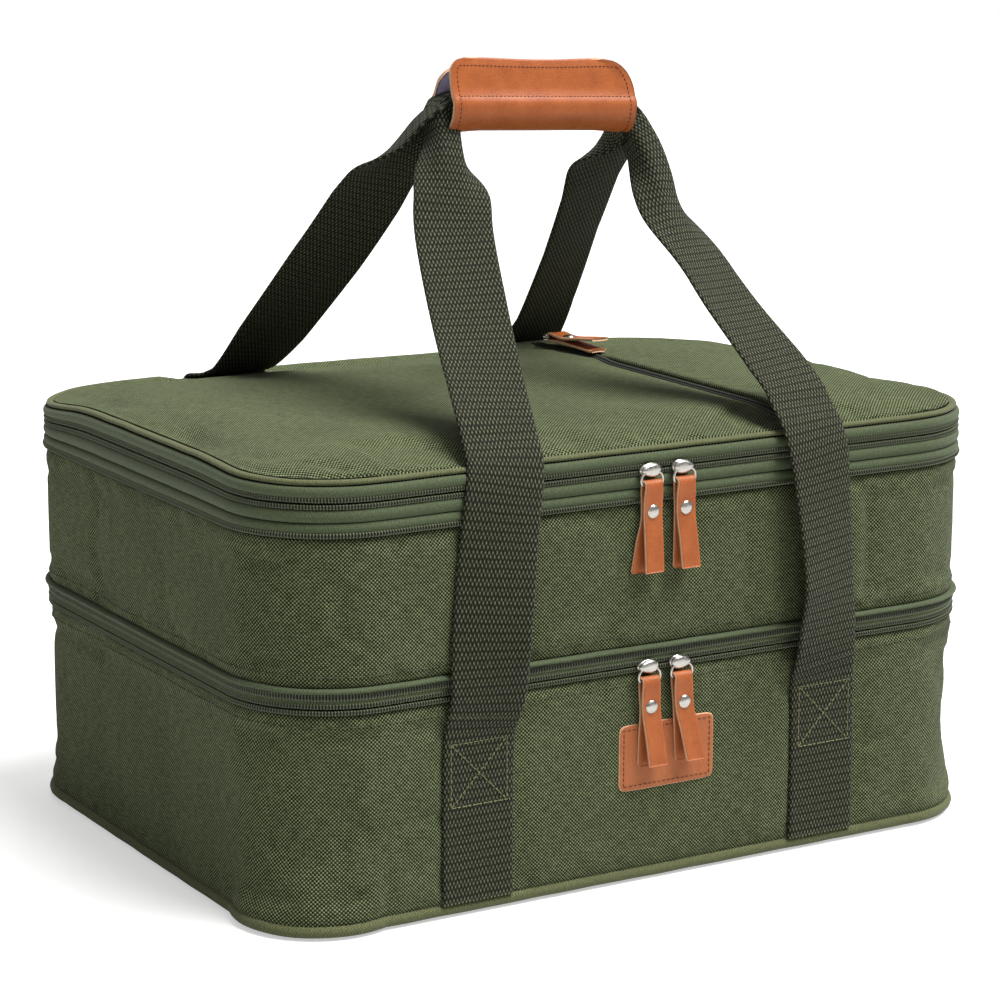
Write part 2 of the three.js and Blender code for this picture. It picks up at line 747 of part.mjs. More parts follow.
function pullRivet() {
  const face = leafInset + leatherThickness + clearance;
  const head = rivetHead / 2;
  const shank = rivetShank / 2;
  const profile = [
    [0, -face - rivetDome],
    [head * 0.6, -face - rivetDome * 0.85],
    [head, -face - rivetRim],
    [head, -face],
    [shank, -face],
    [shank, face],
    [head, face],
    [head, face + rivetBack],
    [0, face + rivetBack],
  ].map(([radius, y]) => new THREE.Vector2(radius, y));
  return new THREE.LatheGeometry(profile, lathSteps).translate(0, 0, -ringBar - rivetDrop);
}

// A flat metal tag whose eye goes round the foot of the slider's bridge
function plainPull() {
  const shape = roundedPlate(plainPullWidth, -plainPullLength, ringWire / 2, plainPullWidth / 3, ringWire / 2);
  const eyeSide = bridgeWidth / 2 + clearance;
  const eyeTop = -ringWire / 2;
  const eyeBottom = eyeTop - plainEyeLength;
  shape.holes.push(new THREE.Path([
    new THREE.Vector2(-eyeSide, eyeTop),
    new THREE.Vector2(-eyeSide, eyeBottom),
    new THREE.Vector2(eyeSide, eyeBottom),
    new THREE.Vector2(eyeSide, eyeTop),
  ]));
  return uprightPlate(shape, ringWire).translate(0, ringWire / 2, 0);
}

function addSlider(name, place, lengthwise) {
  addPiece(`${name}_slider`, sliderBody(lengthwise), 'nickel', place);
  const pull = new THREE.Group();
  pull.position.y = -ringLift;
  place.add(pull);
  carrier.add(place);
  return pull;
}

function addLeatherPull(name, pull) {
  addPiece(`${name}_ring`, pullRing(), 'nickel', pull);
  addPiece(`${name}_tab`, pullTab(), 'leather', pull);
  addPiece(`${name}_rivet`, pullRivet(), 'nickel', pull);
}

function buildSliders() {
  for (const [zip, height] of [['lid', lidZipHeight], ['lower', lowerZipHeight]]) {
    for (const [hand, side] of [['left', -1], ['right', 1]]) {
      const place = new THREE.Group();
      place.position.set(side * pullSpacing / 2, -halfDepth - chainProud, height);
      addLeatherPull(`${zip}_${hand}`, addSlider(`${zip}_${hand}`, place, false));
    }
  }
  const onLid = new THREE.Group();
  const pocketZipTop = lidClothTop + lidRise + clearance + pocketZipThickness;
  onLid.position.set(pocketZipX, pocketSliderY, pocketZipTop);
  onLid.rotation.x = -Math.PI / 2;
  addLeatherPull('pocket', addSlider('pocket', onLid, true));
  const behind = new THREE.Group();
  behind.position.set(expansionSliderX, halfDepth + upperChainProud, upperChainBottom + upperChainHeight / 2);
  behind.rotation.z = Math.PI;
  addPiece('expansion_pull', plainPull(), 'nickel', addSlider('expansion', behind, false));
}

buildBase();
buildUpperDeck();
buildLid();
buildHandles();
buildWrap();
buildSliders();

export default carrier;
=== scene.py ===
import bpy
import numpy as np
from mathutils import Matrix


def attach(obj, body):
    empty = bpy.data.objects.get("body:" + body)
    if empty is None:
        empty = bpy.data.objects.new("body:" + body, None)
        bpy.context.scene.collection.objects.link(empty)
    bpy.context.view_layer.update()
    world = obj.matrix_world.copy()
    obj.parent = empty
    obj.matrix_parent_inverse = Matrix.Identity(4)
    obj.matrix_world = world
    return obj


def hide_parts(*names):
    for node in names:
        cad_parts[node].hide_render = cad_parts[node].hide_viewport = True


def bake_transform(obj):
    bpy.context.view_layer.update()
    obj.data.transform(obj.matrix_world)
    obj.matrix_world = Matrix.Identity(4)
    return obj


# Casserole carrier: two padded cloth decks, coil zips, webbing handles and a leather grip wrap.
# Lengths are in millimetres and become metres when a mesh is made.
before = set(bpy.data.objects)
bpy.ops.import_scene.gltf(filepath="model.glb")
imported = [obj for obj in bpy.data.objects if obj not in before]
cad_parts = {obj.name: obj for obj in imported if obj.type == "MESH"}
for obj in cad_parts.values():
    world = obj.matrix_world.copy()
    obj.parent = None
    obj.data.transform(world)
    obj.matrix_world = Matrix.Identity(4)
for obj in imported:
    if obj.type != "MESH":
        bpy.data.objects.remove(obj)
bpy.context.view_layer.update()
scene = bpy.context.scene
mm = 0.001


def smooth(low, high, value):
    # nothing at low, one at high, easing in and out between them
    share = np.clip((value - low) / (high - low), 0, 1)
    return share * share * (3 - 2 * share)


def bell(value, middle, width):
    # one at the middle, falling off on both sides
    return np.exp(-((value - middle) / width) ** 2)


def hump(rise, fall, value):
    # one between a stretch where it rises and one where it falls
    return smooth(*rise, value) * smooth(*fall, value)


def unit(vectors):
    return vectors / np.maximum(np.linalg.norm(vectors, axis=-1, keepdims=True), 1e-9)


def runOf(points):
    # distance gone along a line of points
    return np.concatenate([[0], np.cumsum(np.linalg.norm(np.diff(points, axis=0), axis=1))])


def sampled(at, run, points):
    # places, or directions, at given distances along a line
    return np.stack([np.interp(at, run, column) for column in points.T], 1)


def toLinear(hexColour):
    value = np.array([int(hexColour[i:i + 2], 16) for i in (1, 3, 5)]) / 255
    linear = np.where(value <= 0.04045, value / 12.92, ((value + 0.055) / 1.055) ** 2.4)
    return (*linear, 1.0)


def addNode(tree, kind, inputs=(), stops=(), **settings):
    # settings come first, since some change the sockets; a socket in inputs is linked, anything else is set
    node = tree.nodes.new("ShaderNode" + kind)
    for name, value in settings.items():
        setattr(node, name, value)
    for i, (place, colour) in enumerate(stops):
        stop = node.color_ramp.elements[i] if i < 2 else node.color_ramp.elements.new(place)
        stop.position = place
        stop.color = toLinear(colour)
    for key, value in dict(inputs).items():
        if isinstance(value, bpy.types.NodeSocket):
            tree.links.new(value, node.inputs[key])
        else:
            node.inputs[key].default_value = value
    return node


def maths(tree, operation, *values):
    return addNode(tree, "Math", enumerate(values), operation=operation).outputs[0]


def ranged(tree, value, low, high, newLow, newHigh):
    return addNode(tree, "MapRange", enumerate((value, low, high, newLow, newHigh))).outputs[0]


def scaled(tree, vector, *factors):
    return addNode(tree, "VectorMath", {0: vector, 1: factors}, operation="MULTIPLY").outputs[0]


def split(tree, vector):
    return addNode(tree, "SeparateXYZ", {0: vector}).outputs


def noise(tree, vector, scale, detail, dimensions="3D", **more):
    inputs = {"Vector": vector, "Scale": scale, "Detail": detail, **more}
    return addNode(tree, "TexNoise", inputs, noise_dimensions=dimensions).outputs[0]


def cellular(tree, vector, scale, feature):
    inputs = {"Vector": vector, "Scale": scale}
    return addNode(tree, "TexVoronoi", inputs, feature=feature).outputs["Distance"]


def coloured(tree, tone, *stops):
    return addNode(tree, "ValToRGB", {0: tone}, stops).outputs[0]


def newMaterial(name, coords, **values):
    # a principled material and its texture coordinates; values go to its sockets, two of them by short names
    longNames = {"Specular": "Specular IOR Level", "Sheen": "Sheen Weight"}
    material = bpy.data.materials.new(name)
    material.use_nodes = True
    tree = material.node_tree
    tree.nodes.clear()
    shader = addNode(tree, "BsdfPrincipled", {longNames.get(key, key): value for key, value in values.items()})
    addNode(tree, "OutputMaterial", {"Surface": shader.outputs[0]})
    return material, tree, addNode(tree, "TexCoord").outputs[coords]


def finished(material, colour, height, strength, depth, roughness=None):
    # colour and bump from sockets; depth is the height of the relief in millimetres
    tree = material.node_tree
    shader = next(node for node in tree.nodes if node.type == "BSDF_PRINCIPLED")
    bump = addNode(tree, "Bump", {"Height": height, "Strength": strength, "Distance": depth * mm})
    tree.links.new(colour, shader.inputs["Base Color"])
    tree.links.new(bump.outputs[0], shader.inputs["Normal"])
    if roughness is not None:
        tree.links.new(roughness, shader.inputs["Roughness"])
    return material


# Woven polyester, cross-dyed: olive picks over a near-black ground, so the eye sees a fine regular fleck.
# Threads are really about 0.4 mm apart; they are drawn at over twice that so that they show.
# A thread keeps its shade over as many crossings as slub says.
heatherLook = {"thread": 0.95, "slub": 6.0, "dark": "#0c0f05", "middle": "#353c24", "pale": "#879069"}


def heatherCloth():
    look = heatherLook
    material, tree, uv = newMaterial("wovenHeatherPolyester", "UV", Roughness=0.95, Sheen=0.05, Specular=0.15)
    threads = scaled(tree, uv, *[1 / (look["thread"] * mm)] * 3)
    waves = [maths(tree, "SINE", maths(tree, "MULTIPLY", axis, np.pi)) for axis in split(tree, threads)[:2]]
    over = maths(tree, "MULTIPLY", *waves)
    fleck = ranged(tree, over, -0.8, 0.8, 0.05, 0.95)
    long = 1 / look["slub"]
    ways = (1.0, long, 1.0), (long, 1.0, 1.0)
    warp, weft = (noise(tree, scaled(tree, threads, *way), 0.9, 2.0, "2D") for way in ways)
    shade = addNode(tree, "Mix", {0: fleck, 2: warp, 3: weft}).outputs[0]
    yarn = ranged(tree, shade, 0.3, 0.7, -0.13, 0.13)
    mottle = ranged(tree, noise(tree, threads, 0.02, 3.0), 0.3, 0.7, -0.035, 0.035)
    tone = maths(tree, "ADD", maths(tree, "ADD", fleck, yarn), mottle)
    colour = coloured(tree, tone, (0.05, look["dark"]), (0.95, look["pale"]), (0.5, look["middle"]))
    return finished(material, colour, maths(tree, "ABSOLUTE", over), 0.5, 0.3)


# Polyester zip tape: a close herringbone of one green yarn, smoother and a little brighter than the cloth.
def ribbedTape(name, dark, pale, rib):
    material, tree, uv = newMaterial(name, "UV", Roughness=0.8, Sheen=0.12, Specular=0.3)
    ribs = scaled(tree, uv, *[1 / (rib * mm)] * 3)
    along, across = split(tree, ribs)[:2]
    slanted = maths(tree, "ADD", along, maths(tree, "PINGPONG", across, 1.0))
    wave = maths(tree, "SINE", maths(tree, "MULTIPLY", slanted, 2 * np.pi))
    # the rib wave that makes the bump also sets the tone: painted shade in the rib troughs and painted
    # highlight on the crests
    wearAndRibShade = ranged(tree, wave, -1.0, 1.0, -0.13, 0.13)
    calm = ranged(tree, noise(tree, ribs, 1.3, 3.0, "2D"), 0.0, 1.0, 0.25, 0.75)
    colour = coloured(tree, maths(tree, "ADD", calm, wearAndRibShade), (0.28, dark), (0.72, pale))
    return finished(material, colour, wave, 0.35, 0.2)


# Heavy polyester webbing: rows of raised pale picks on a near-black olive ground, half a step apart row by row.
webbingLook = {"across": 2.0, "along": 2.2, "ground": "#14160c", "between": "#2b2e20", "pick": "#6f705b"}


def dottedWebbing():
    look = webbingLook
    material, tree, uv = newMaterial("heavyPolyesterWebbing", "UV", Roughness=0.9, Sheen=0.04, Specular=0.2)
    steps = scaled(tree, uv, 2 * np.pi / (look["across"] * mm), np.pi / (look["along"] * mm), 0.0)
    across, along = split(tree, steps)[:2]
    pick = maths(tree, "MULTIPLY", maths(tree, "COSINE", across), maths(tree, "COSINE", along))
    groove = maths(tree, "MULTIPLY", maths(tree, "SINE", along), 0.15)  # two rows sit close, then a dark line
    # random tone of wear only; no rib shade is painted here
    wearAndRibShade = ranged(tree, noise(tree, steps, 0.6, 2.0, "2D"), 0.25, 0.75, -0.4, 0.4)
    tone = ranged(tree, maths(tree, "ADD", maths(tree, "ADD", pick, wearAndRibShade), groove), -0.5, 1.0, 0.0, 1.0)
    colour = coloured(tree, tone, (0.0, look["ground"]), (1.0, look["pick"]), (0.5, look["between"]))
    return finished(material, colour, pick, 0.6, 0.35)


# Vegetable-tanned cowhide, satin finish: fine pebbled grain, warm patches, a soft broad highlight.
def grainLeather(name, dark, pale, pebble, roughness):
    material, tree, place = newMaterial(name, "Object", Roughness=roughness, Specular=0.4)
    cells = cellular(tree, place, 1 / (pebble * mm), "F1")
    pores = noise(tree, place, 900.0, 3.0)
    patches = ranged(tree, noise(tree, place, 120.0, 3.0), 0.0, 1.0, 0.3, 0.7)
    tone = maths(tree, "ADD", patches, ranged(tree, cells, 0.15, 0.75, 0.06, -0.1))
    colour = coloured(tree, tone, (0.25, dark), (0.75, pale))
    rough = ranged(tree, pores, 0.2, 0.8, roughness - 0.08, roughness + 0.12)
    return finished(material, colour, maths(tree, "SUBTRACT", cells, pores), 0.32, 0.25, rough)


# Plain fine-grained finishes: moulded nylon, thread, felt, coated cloth. The grain is in millimetres.
def grained(name, dark, pale, grain, relief, roughness):
    material, tree, place = newMaterial(name, "Object", Roughness=roughness)
    speck = noise(tree, place, 1 / (grain * mm), 4.0)
    return finished(material, coloured(tree, speck, (0.3, dark), (0.7, pale)), speck, 0.4, relief)


# Wound nylon coil: two rows of small pale loops; the dark slots between the teeth and the dark line between the
# two rows are painted shade; u counts teeth, v goes round the bead.
def toothedNylon(name, slot, tooth):
    material, tree, uv = newMaterial(name, "UV", Roughness=0.5, Specular=0.35)
    turns = zip(split(tree, uv)[:2], (2 * np.pi, 4 * np.pi))
    loops = maths(tree, "SUBTRACT", *(maths(tree, "COSINE", maths(tree, "MULTIPLY", *turn)) for turn in turns))
    # the slot colour is painted shade: it darkens the gaps between teeth and the middle of the bead between its
    # two rows
    colour = coloured(tree, ranged(tree, loops, -0.9, 1.7, 0.0, 1.0), (0.0, slot), (1.0, tooth))
    return finished(material, colour, loops, 0.5, 0.3)


# Nickel-plated zinc, polished: bright mirror with faint handling marks in its roughness.
def polishedNickel():
    material, tree, place = newMaterial("polishedNickelPlate", "Object", Metallic=1.0)
    marks = noise(tree, place, 600.0, 5.0)
    colour = coloured(tree, marks, (0.3, "#c4c0ba"), (0.7, "#dedad4"))
    return finished(material, colour, marks, 0.05, 0.02, ranged(tree, marks, 0.3, 0.7, 0.2, 0.36))


# Metallised film laminated on foam: dull silver, pressed into small cells and crinkled.
def silverFilm():
    material, tree, place = newMaterial("metallisedFilm", "Object", Metallic=0.6, Roughness=0.42)
    crinkle = noise(tree, place, 90.0, 5.0, Distortion=0.6)
    height = maths(tree, "ADD", crinkle, cellular(tree, place, 140.0, "SMOOTH_F1"))
    colour = coloured(tree, crinkle, (0.3, "#9fa3a6"), (0.7, "#bfc3c5"))
    return finished(material, colour, height, 0.35, 0.9, ranged(tree, crinkle, 0.3, 0.7, 0.36, 0.5))


cloth = heatherCloth()
zipTape = ribbedTape("polyesterZipTape", "#343e25", "#5d684a", 1.4)
bindingTape = ribbedTape("grosgrainBinding", "#2a2f22", "#4c5340", 1.2)
pipingTwill = ribbedTape("biasTwillPiping", "#3e4226", "#6b6f49", 1.6)
webbing = dottedWebbing()
leather = grainLeather("vegetableTannedLeather", "#954718", "#c06c37", 0.65, 0.46)
labelLeather = grainLeather("labelLeather", "#9d562f", "#c07344", 0.7, 0.55)
leatherEdge = grained("cutLeatherEdge", "#c08c66", "#e6bf9c", 0.5, 0.15, 0.85)
# the near-black slot colour of the coil is painted shade between its teeth
coil = toothedNylon("woundNylonCoil", "#0f120a", "#8a9373")
# near-black pocket zip: partly its own dark colour, partly painted shade of the slit it lies in
darkCoilAndSlitShade = grained("darkNylonCoilAndSlitShade", "#0f110b", "#1d2017", 0.6, 0.05, 0.7)
oliveThread = grained("oliveSewingThread", "#6d6f46", "#8d8f62", 0.4, 0.1, 0.7)
brownThread = grained("brownSewingThread", "#4f2309", "#743a16", 0.4, 0.1, 0.65)
greenThread = grained("greenSewingThread", "#2e3421", "#50573d", 0.4, 0.1, 0.75)
felt = grained("brushedLining", "#8a809c", "#b3a9c2", 0.8, 0.4, 1.0)
baseCoat = grained("coatedBaseCloth", "#15170f", "#26291d", 1.0, 0.25, 0.75)
hookTape = grained("hookAndLoopTape", "#6e677c", "#a39cb0", 0.7, 0.7, 1.0)
nickel = polishedNickel()
film = silverFilm()
print("materials made")


def volume(points, faces):
    total = 0.0
    for f in faces:
        for k in range(1, f.shape[1] - 1):
            total += np.einsum("ij,ij->", points[f[:, 0]], np.cross(points[f[:, k]], points[f[:, k + 1]]))
    return total


def newObject(name, points, faces, corners, materials, faceSlots=None, turn=None):
    # faces are blocks of index rows, corners their UV rows in metres; an inside-out surface is turned over
    points = np.asarray(points, float).reshape(-1, 3)
    if volume(points, faces) < 0 if turn is None else turn:
        faces, corners = ([block[:, ::-1] for block in blocks] for blocks in (faces, corners))
    counts = np.concatenate([np.full(len(f), f.shape[1]) for f in faces])
    loops = np.concatenate([f.ravel() for f in faces])
    slots = np.zeros(len(counts)) if faceSlots is None else np.concatenate(faceSlots)
    mesh = bpy.data.meshes.new(name)
    mesh.vertices.add(len(points))
    mesh.vertices.foreach_set("co", (points * mm).ravel())
    mesh.loops.add(len(loops))
    mesh.loops.foreach_set("vertex_index", loops.astype(np.int32))
    mesh.polygons.add(len(counts))
    mesh.polygons.foreach_set("loop_start", (np.cumsum(counts) - counts).astype(np.int32))
    mesh.update(calc_edges=True)
    mesh.polygons.foreach_set("use_smooth", np.ones(len(counts), bool))
    mesh.polygons.foreach_set("material_index", slots.astype(np.int32))
    uv = mesh.uv_layers.new(name="UVMap")
    uv.data.foreach_set("uv", np.concatenate([c.reshape(-1, 2) for c in corners]).ravel())
    for material in materials:
        mesh.materials.append(material)
    mesh.validate()
    obj = bpy.data.objects.new(name, mesh)
    scene.collection.objects.link(obj)
    return obj


def gridFaces(rows, cols, closeRows, closeCols):
    # quads between neighbouring rows and columns, as vertex indices and as row and column numbers
    rowSpan, colSpan = rows if closeRows else rows - 1, cols if closeCols else cols - 1
    i, j = (a.ravel() for a in np.meshgrid(np.arange(rowSpan), np.arange(colSpan), indexing="ij"))
    rowAt = np.stack([i, i, i + 1, i + 1], 1)
    colAt = np.stack([j, j + 1, j + 1, j], 1)
    return (rowAt % rows) * cols + colAt % cols, rowAt, colAt


def spread(points, axis, closed):
    # distance run along one axis of a grid, averaged over the other, in metres
    if closed:
        points = np.concatenate([points, np.take(points, [0], axis)], axis)
    mean = np.linalg.norm(np.diff(points, axis=axis), axis=-1).mean(axis=1 - axis)
    return np.concatenate([[0], np.cumsum(mean)]) * mm


def gridPiece(name, points, material, closeRows=False, closeCols=False, capCols=False, uvGrid=None, runs=None,
              turn=None):
    # a surface over rows and columns; capped columns are closed by quads that zip a closed row's two halves
    rows, cols = points.shape[:2]
    quads, rowAt, colAt = gridFaces(rows, cols, closeRows, closeCols)
    if uvGrid is None:
        u, v = runs or (spread(points, 1, closeCols), spread(points, 0, closeRows))
        corners = np.stack([u[colAt], v[rowAt]], -1)
    else:
        corners = uvGrid.reshape(-1, 2)[quads]
    faces, uvs = [quads], [corners]
    if capCols:
        k = np.arange(rows // 2 - 1)
        for col, order in ((0, (0, 3, 2, 1)), (cols - 1, (0, 1, 2, 3))):
            cap = np.stack([k, k + 1, rows - 2 - k, rows - 1 - k], 1)[:, order] * cols + col
            faces.append(cap)
            uvs.append(np.zeros((len(cap), 4, 2)))
    return newObject(name, points, faces, uvs, [material], turn=turn)


def gridNormals(points):
    # along the columns and down the rows, crossed
    return unit(np.cross(np.gradient(points, axis=1), np.gradient(points, axis=0)))


def shell(name, middle, thickness, materials, roundEdge=0.35):
    # a sheet with two faces and a rounded cut edge: the middle surface moved out and in by half its thickness;
    # both column ends are closed by quads across the sheet and two triangles at its rounded edges
    rows, cols = middle.shape[:2]
    normal = gridNormals(middle) * (thickness / 2)
    edge = unit(np.gradient(middle, axis=0)) * (thickness / 2) * roundEdge
    first, last = middle[:1] - edge[:1], middle[-1:] + edge[-1:]
    loop = np.concatenate([middle + normal, last, (middle - normal)[::-1], first])
    count, edgeSlot = len(loop), len(materials) - 1
    slots = np.minimum(np.repeat([0, 2, 1, 2], [rows - 1, 2, rows - 1, 2]), edgeSlot)
    quads, rowAt, colAt = gridFaces(count, cols, True, False)
    u, v = spread(loop, 1, False), spread(loop, 0, True)
    v = np.where(np.arange(len(v)) > rows, v[rows] * 2 - v, v)  # the two faces show one pattern
    faces, uvs, kinds = [quads], [np.stack([u[colAt], v[rowAt]], -1)], [slots[rowAt[:, 0]]]
    k = np.arange(rows - 1)
    for col, way in ((0, -1), (cols - 1, 1)):
        cap = np.stack([k, k + 1, count - 3 - k, count - 2 - k], 1) * cols + col
        ends = np.array([[rows - 1, rows, rows + 1], [count - 2, count - 1, 0]]) * cols + col
        for part in (cap, ends):
            faces.append(part[:, ::way])
            uvs.append(np.zeros((*part.shape, 2)))
            kinds.append(np.full(len(part), edgeSlot))
    return newObject(name, loop, faces, uvs, materials, kinds)


def curve(points, steps, closed=False):
    # a smooth line through points (Catmull-Rom), resampled to equal steps
    points = np.asarray(points, float)
    if closed:
        ends = np.vstack([points[-1:], points, points[:2]])
    else:
        ends = np.vstack([2 * points[0] - points[1], points, 2 * points[-1] - points[-2]])
    t = np.linspace(0, 1, 24, endpoint=False)[None, :, None]
    a, b, c, d = (ends[k:len(ends) - 3 + k, None] for k in range(4))
    line = 0.5 * (2 * b + (c - a) * t + (2 * a - 5 * b + 4 * c - d) * t ** 2 + (3 * b - 3 * c + d - a) * t ** 3)
    line = np.vstack([line.reshape(-1, points.shape[1]), points[:1] if closed else points[-1:]])
    run = runOf(line)
    return sampled(np.linspace(0, run[-1], steps, endpoint=not closed), run, line)


def tube(name, path, radius, material, sides, side, closed=True):
    # a round section carried along a path that lies across the side direction
    along = np.roll(path, -1, 0) - np.roll(path, 1, 0) if closed else np.gradient(path, axis=0)
    across = unit(np.cross(along, side))
    up = unit(np.cross(across, along))
    angle = np.linspace(0, 2 * np.pi, sides, endpoint=False)[:, None, None]
    points = path + np.broadcast_to(radius, len(path))[:, None] * (np.cos(angle) * across + np.sin(angle) * up)
    return gridPiece(name, points, material, closeRows=True, closeCols=closed, capCols=not closed)


def polePiece(name, points, materials, rowSlots=None):
    # a grid closed round its columns whose first and last rows shrink to one point each; its UV is its plan
    rows, cols = points.shape[:2]
    flat = np.vstack([points[0].mean(0), points[1:-1].reshape(-1, 3), points[-1].mean(0)])
    quads, rowAt, _ = gridFaces(rows - 2, cols, False, True)
    j = np.arange(cols)
    k = (j + 1) % cols
    lastRow = (rows - 3) * cols + 1
    under = np.stack([0 * j, k + 1, j + 1], 1)
    over = np.stack([0 * j + len(flat) - 1, lastRow + j, lastRow + k], 1)
    faces = [quads + 1, under, over]
    slots = np.zeros(rows) if rowSlots is None else np.asarray(rowSlots)
    kinds = [slots[1 + rowAt[:, 0]], np.full(cols, slots[0]), np.full(cols, slots[-1])]
    return newObject(name, flat, faces, [flat[f][..., :2] * mm for f in faces], materials, kinds)


def drawnIn(edge, shares, z):
    # copies of a closed line shrunk towards the middle of the plan, each at its height
    points = edge * np.asarray(shares, float)[:, None, None]
    points[..., 2] = np.reshape(z, (-1, 1))
    return points


def stitches(name, lines, material, pitch, length, width, height):
    # capsules laid end to end along lines of (points, normals), each half sunk into the cloth
    ends, girth = np.array([(-1, 0.15), (-0.8, 0.75), (0, 1), (0.8, 0.75), (1, 0.15)]).T[..., None]
    angle = np.linspace(0, 2 * np.pi, 6, endpoint=False)
    shape = np.stack([ends + 0 * angle, girth * np.cos(angle), girth * np.sin(angle)], -1).reshape(-1, 3)
    caps = np.array([[5, 4, 3, 2], [5, 2, 1, 0], [24, 25, 26, 27], [24, 27, 28, 29]])
    quads = np.vstack([gridFaces(5, 6, False, True)[0], caps])
    laid = []
    for points, normals in lines:
        run = runOf(points)
        at = np.arange(pitch / 2, run[-1], pitch)
        ahead = sampled(at + 0.5, run, points) - sampled(at - 0.5, run, points)
        laid.append((sampled(at, run, points), unit(ahead), unit(sampled(at, run, normals))))
    centre, along, normal = (np.concatenate(part)[:, None] for part in zip(*laid))
    across = np.cross(normal, along)
    size = shape * np.array([length / 2, width / 2, height])
    points = centre + along * size[:, :1] + across * size[:, 1:2] + normal * size[:, 2:]
    faces = (quads + np.arange(len(centre))[:, None, None] * len(shape)).reshape(-1, 4)
    return newObject(name, points, [faces], [np.zeros((len(faces), 4, 2))], [material])


def done(obj, slot, body, *nodes):
    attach(obj, body)
    if nodes:
        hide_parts(*nodes)
    return obj


# Cloth settings for filling a cover; it is cut a little larger than the foam
filling = {
    "quality": 5, "mass": 0.25, "tension_stiffness": 12, "compression_stiffness": 12, "shear_stiffness": 6,
    "bending_stiffness": 0.4, "use_pressure": True, "shrink_min": -0.015, "vertex_group_mass": "sewn",
}
fillingFrames = 16


def settle(points, pinned, pressure, cap, closeCols):
    # cloth filled from behind: sewn points stay, the rest swells by at most cap, with no gravity
    obj = gridPiece("settling", points, cloth, closeCols=closeCols, turn=False)
    group = obj.vertex_groups.new(name="sewn")
    group.add(np.flatnonzero(pinned.ravel()).tolist(), 1.0, "REPLACE")
    sim = obj.modifiers.new("filling", "CLOTH")
    for key, value in filling.items():
        setattr(sim.settings, key, value)
    sim.settings.uniform_pressure_force = pressure
    sim.settings.effector_weights.gravity = 0
    sim.collision_settings.use_collision = False
    sim.point_cache.frame_start, sim.point_cache.frame_end = 1, fillingFrames
    for f in range(1, fillingFrames + 1):
        scene.frame_set(f)
    final = obj.evaluated_get(bpy.context.evaluated_depsgraph_get())
    mesh = final.to_mesh()
    found = np.empty(len(mesh.vertices) * 3)
    mesh.vertices.foreach_get("co", found)
    final.to_mesh_clear()
    bpy.data.objects.remove(obj, do_unlink=True)
    scene.frame_set(1)
    moved = found.reshape(points.shape) / mm - points
    size = np.linalg.norm(moved, axis=-1, keepdims=True)
    return points + moved * np.minimum(1, cap / np.maximum(size, 1e-9))


def refine(points, axis, closed):
    # a row between every two, on the cubic through its four neighbours
    count = points.shape[axis]
    take = lambda k: np.take(points, np.arange(count) + k, axis, mode="wrap" if closed else "clip")
    between = (9 * (points + take(1)) - take(-1) - take(2)) / 16
    both = np.stack([points, between], axis + 1).reshape(*points.shape[:axis], -1, *points.shape[axis + 1:])
    return both if closed else np.delete(both, -1, axis)


def finer(points, closeCols=False):
    return refine(refine(points, 0, False), 1, closeCols)


# The body's plan, as in the solids, tighter at the foot's corners, and stations round it for cloth and bands
body = {
    "halfWidth": 210, "halfDepth": 156, "corner": 55, "baseCorner": 48, "frontLeftCorner": 35, "squareUpTo": 48,
}
coarse, fine = 274, 548
# The soft rim hangs lower along the back and the right side and rides up on the left, as the photograph shows.
# Each amount has the stretches over which it grows; nothing below the expansion zip moves.
rim = {
    "back": 2.6, "backAt": (60, 150), "backRight": 2.4, "backRightAt": (-120, 160),
    "backLeft": 1.6, "backLeftAt": (-190, 120), "backLeftWidth": 45,
    "right": 3.0, "rightAt": (140, 205), "rightBehind": (-120, -30),
    "left": 2.4, "leftAt": (-165, -205), "leftBehind": (-135, -60), "leftBefore": (120, 50),
    "still": 195, "full": 219,
}


def bodyRing(count):
    # stations at equal steps round the rounded rectangle, counter-clockwise from the middle of the back
    radius, steps = body["corner"], 48
    reachX, reachY = body["halfWidth"] - radius, body["halfDepth"] - radius
    angle = (np.arange(1, 5)[:, None] * np.pi / 2 + np.linspace(0, np.pi / 2, steps)).ravel()
    x = np.repeat([-reachX, -reachX, reachX, reachX], steps) + radius * np.cos(angle)
    y = np.repeat([reachY, -reachY, -reachY, reachY], steps) + radius * np.sin(angle)
    start = (0, body["halfDepth"])
    line = np.vstack([start, np.stack([x, y], 1), start])
    run = runOf(line)
    at = np.linspace(0, run[-1], count, endpoint=False)
    heading = np.interp(at, run, np.concatenate([[np.pi / 2], angle, [np.pi * 2.5]]))
    x, y = sampled(at, run, line).T
    return {"x": x, "y": y, "nx": np.cos(heading), "ny": np.sin(heading), "run": at, "total": run[-1]}


def squareness(ring, z):
    # the foot of the bag has a tighter corner than its top: extra reach along the normal in the corners
    corner = np.where((ring["nx"] < 0) & (ring["ny"] < 0), body["frontLeftCorner"], body["baseCorner"])
    tighter = (body["corner"] - corner) * (1 - smooth(0, body["squareUpTo"], z))
    return tighter * (np.abs(ring["nx"]) + np.abs(ring["ny"]) - 1)


def rimSag(x, y, z):
    cornerX, cornerY = rim["backLeftAt"]
    corner = bell(x, cornerX, rim["backLeftWidth"]) * bell(y, cornerY, rim["backLeftWidth"])
    back = (rim["back"] + rim["backRight"] * smooth(*rim["backRightAt"], x)) * smooth(*rim["backAt"], y)
    back = back + rim["backLeft"] * corner
    right = rim["right"] * smooth(*rim["rightAt"], x) * smooth(*rim["rightBehind"], y)
    left = rim["left"] * smooth(*rim["leftAt"], x) * hump(rim["leftBehind"], rim["leftBefore"], y)
    return (np.hypot(back, right) - left) * np.clip((z - rim["still"]) / (rim["full"] - rim["still"]), 0, 1)


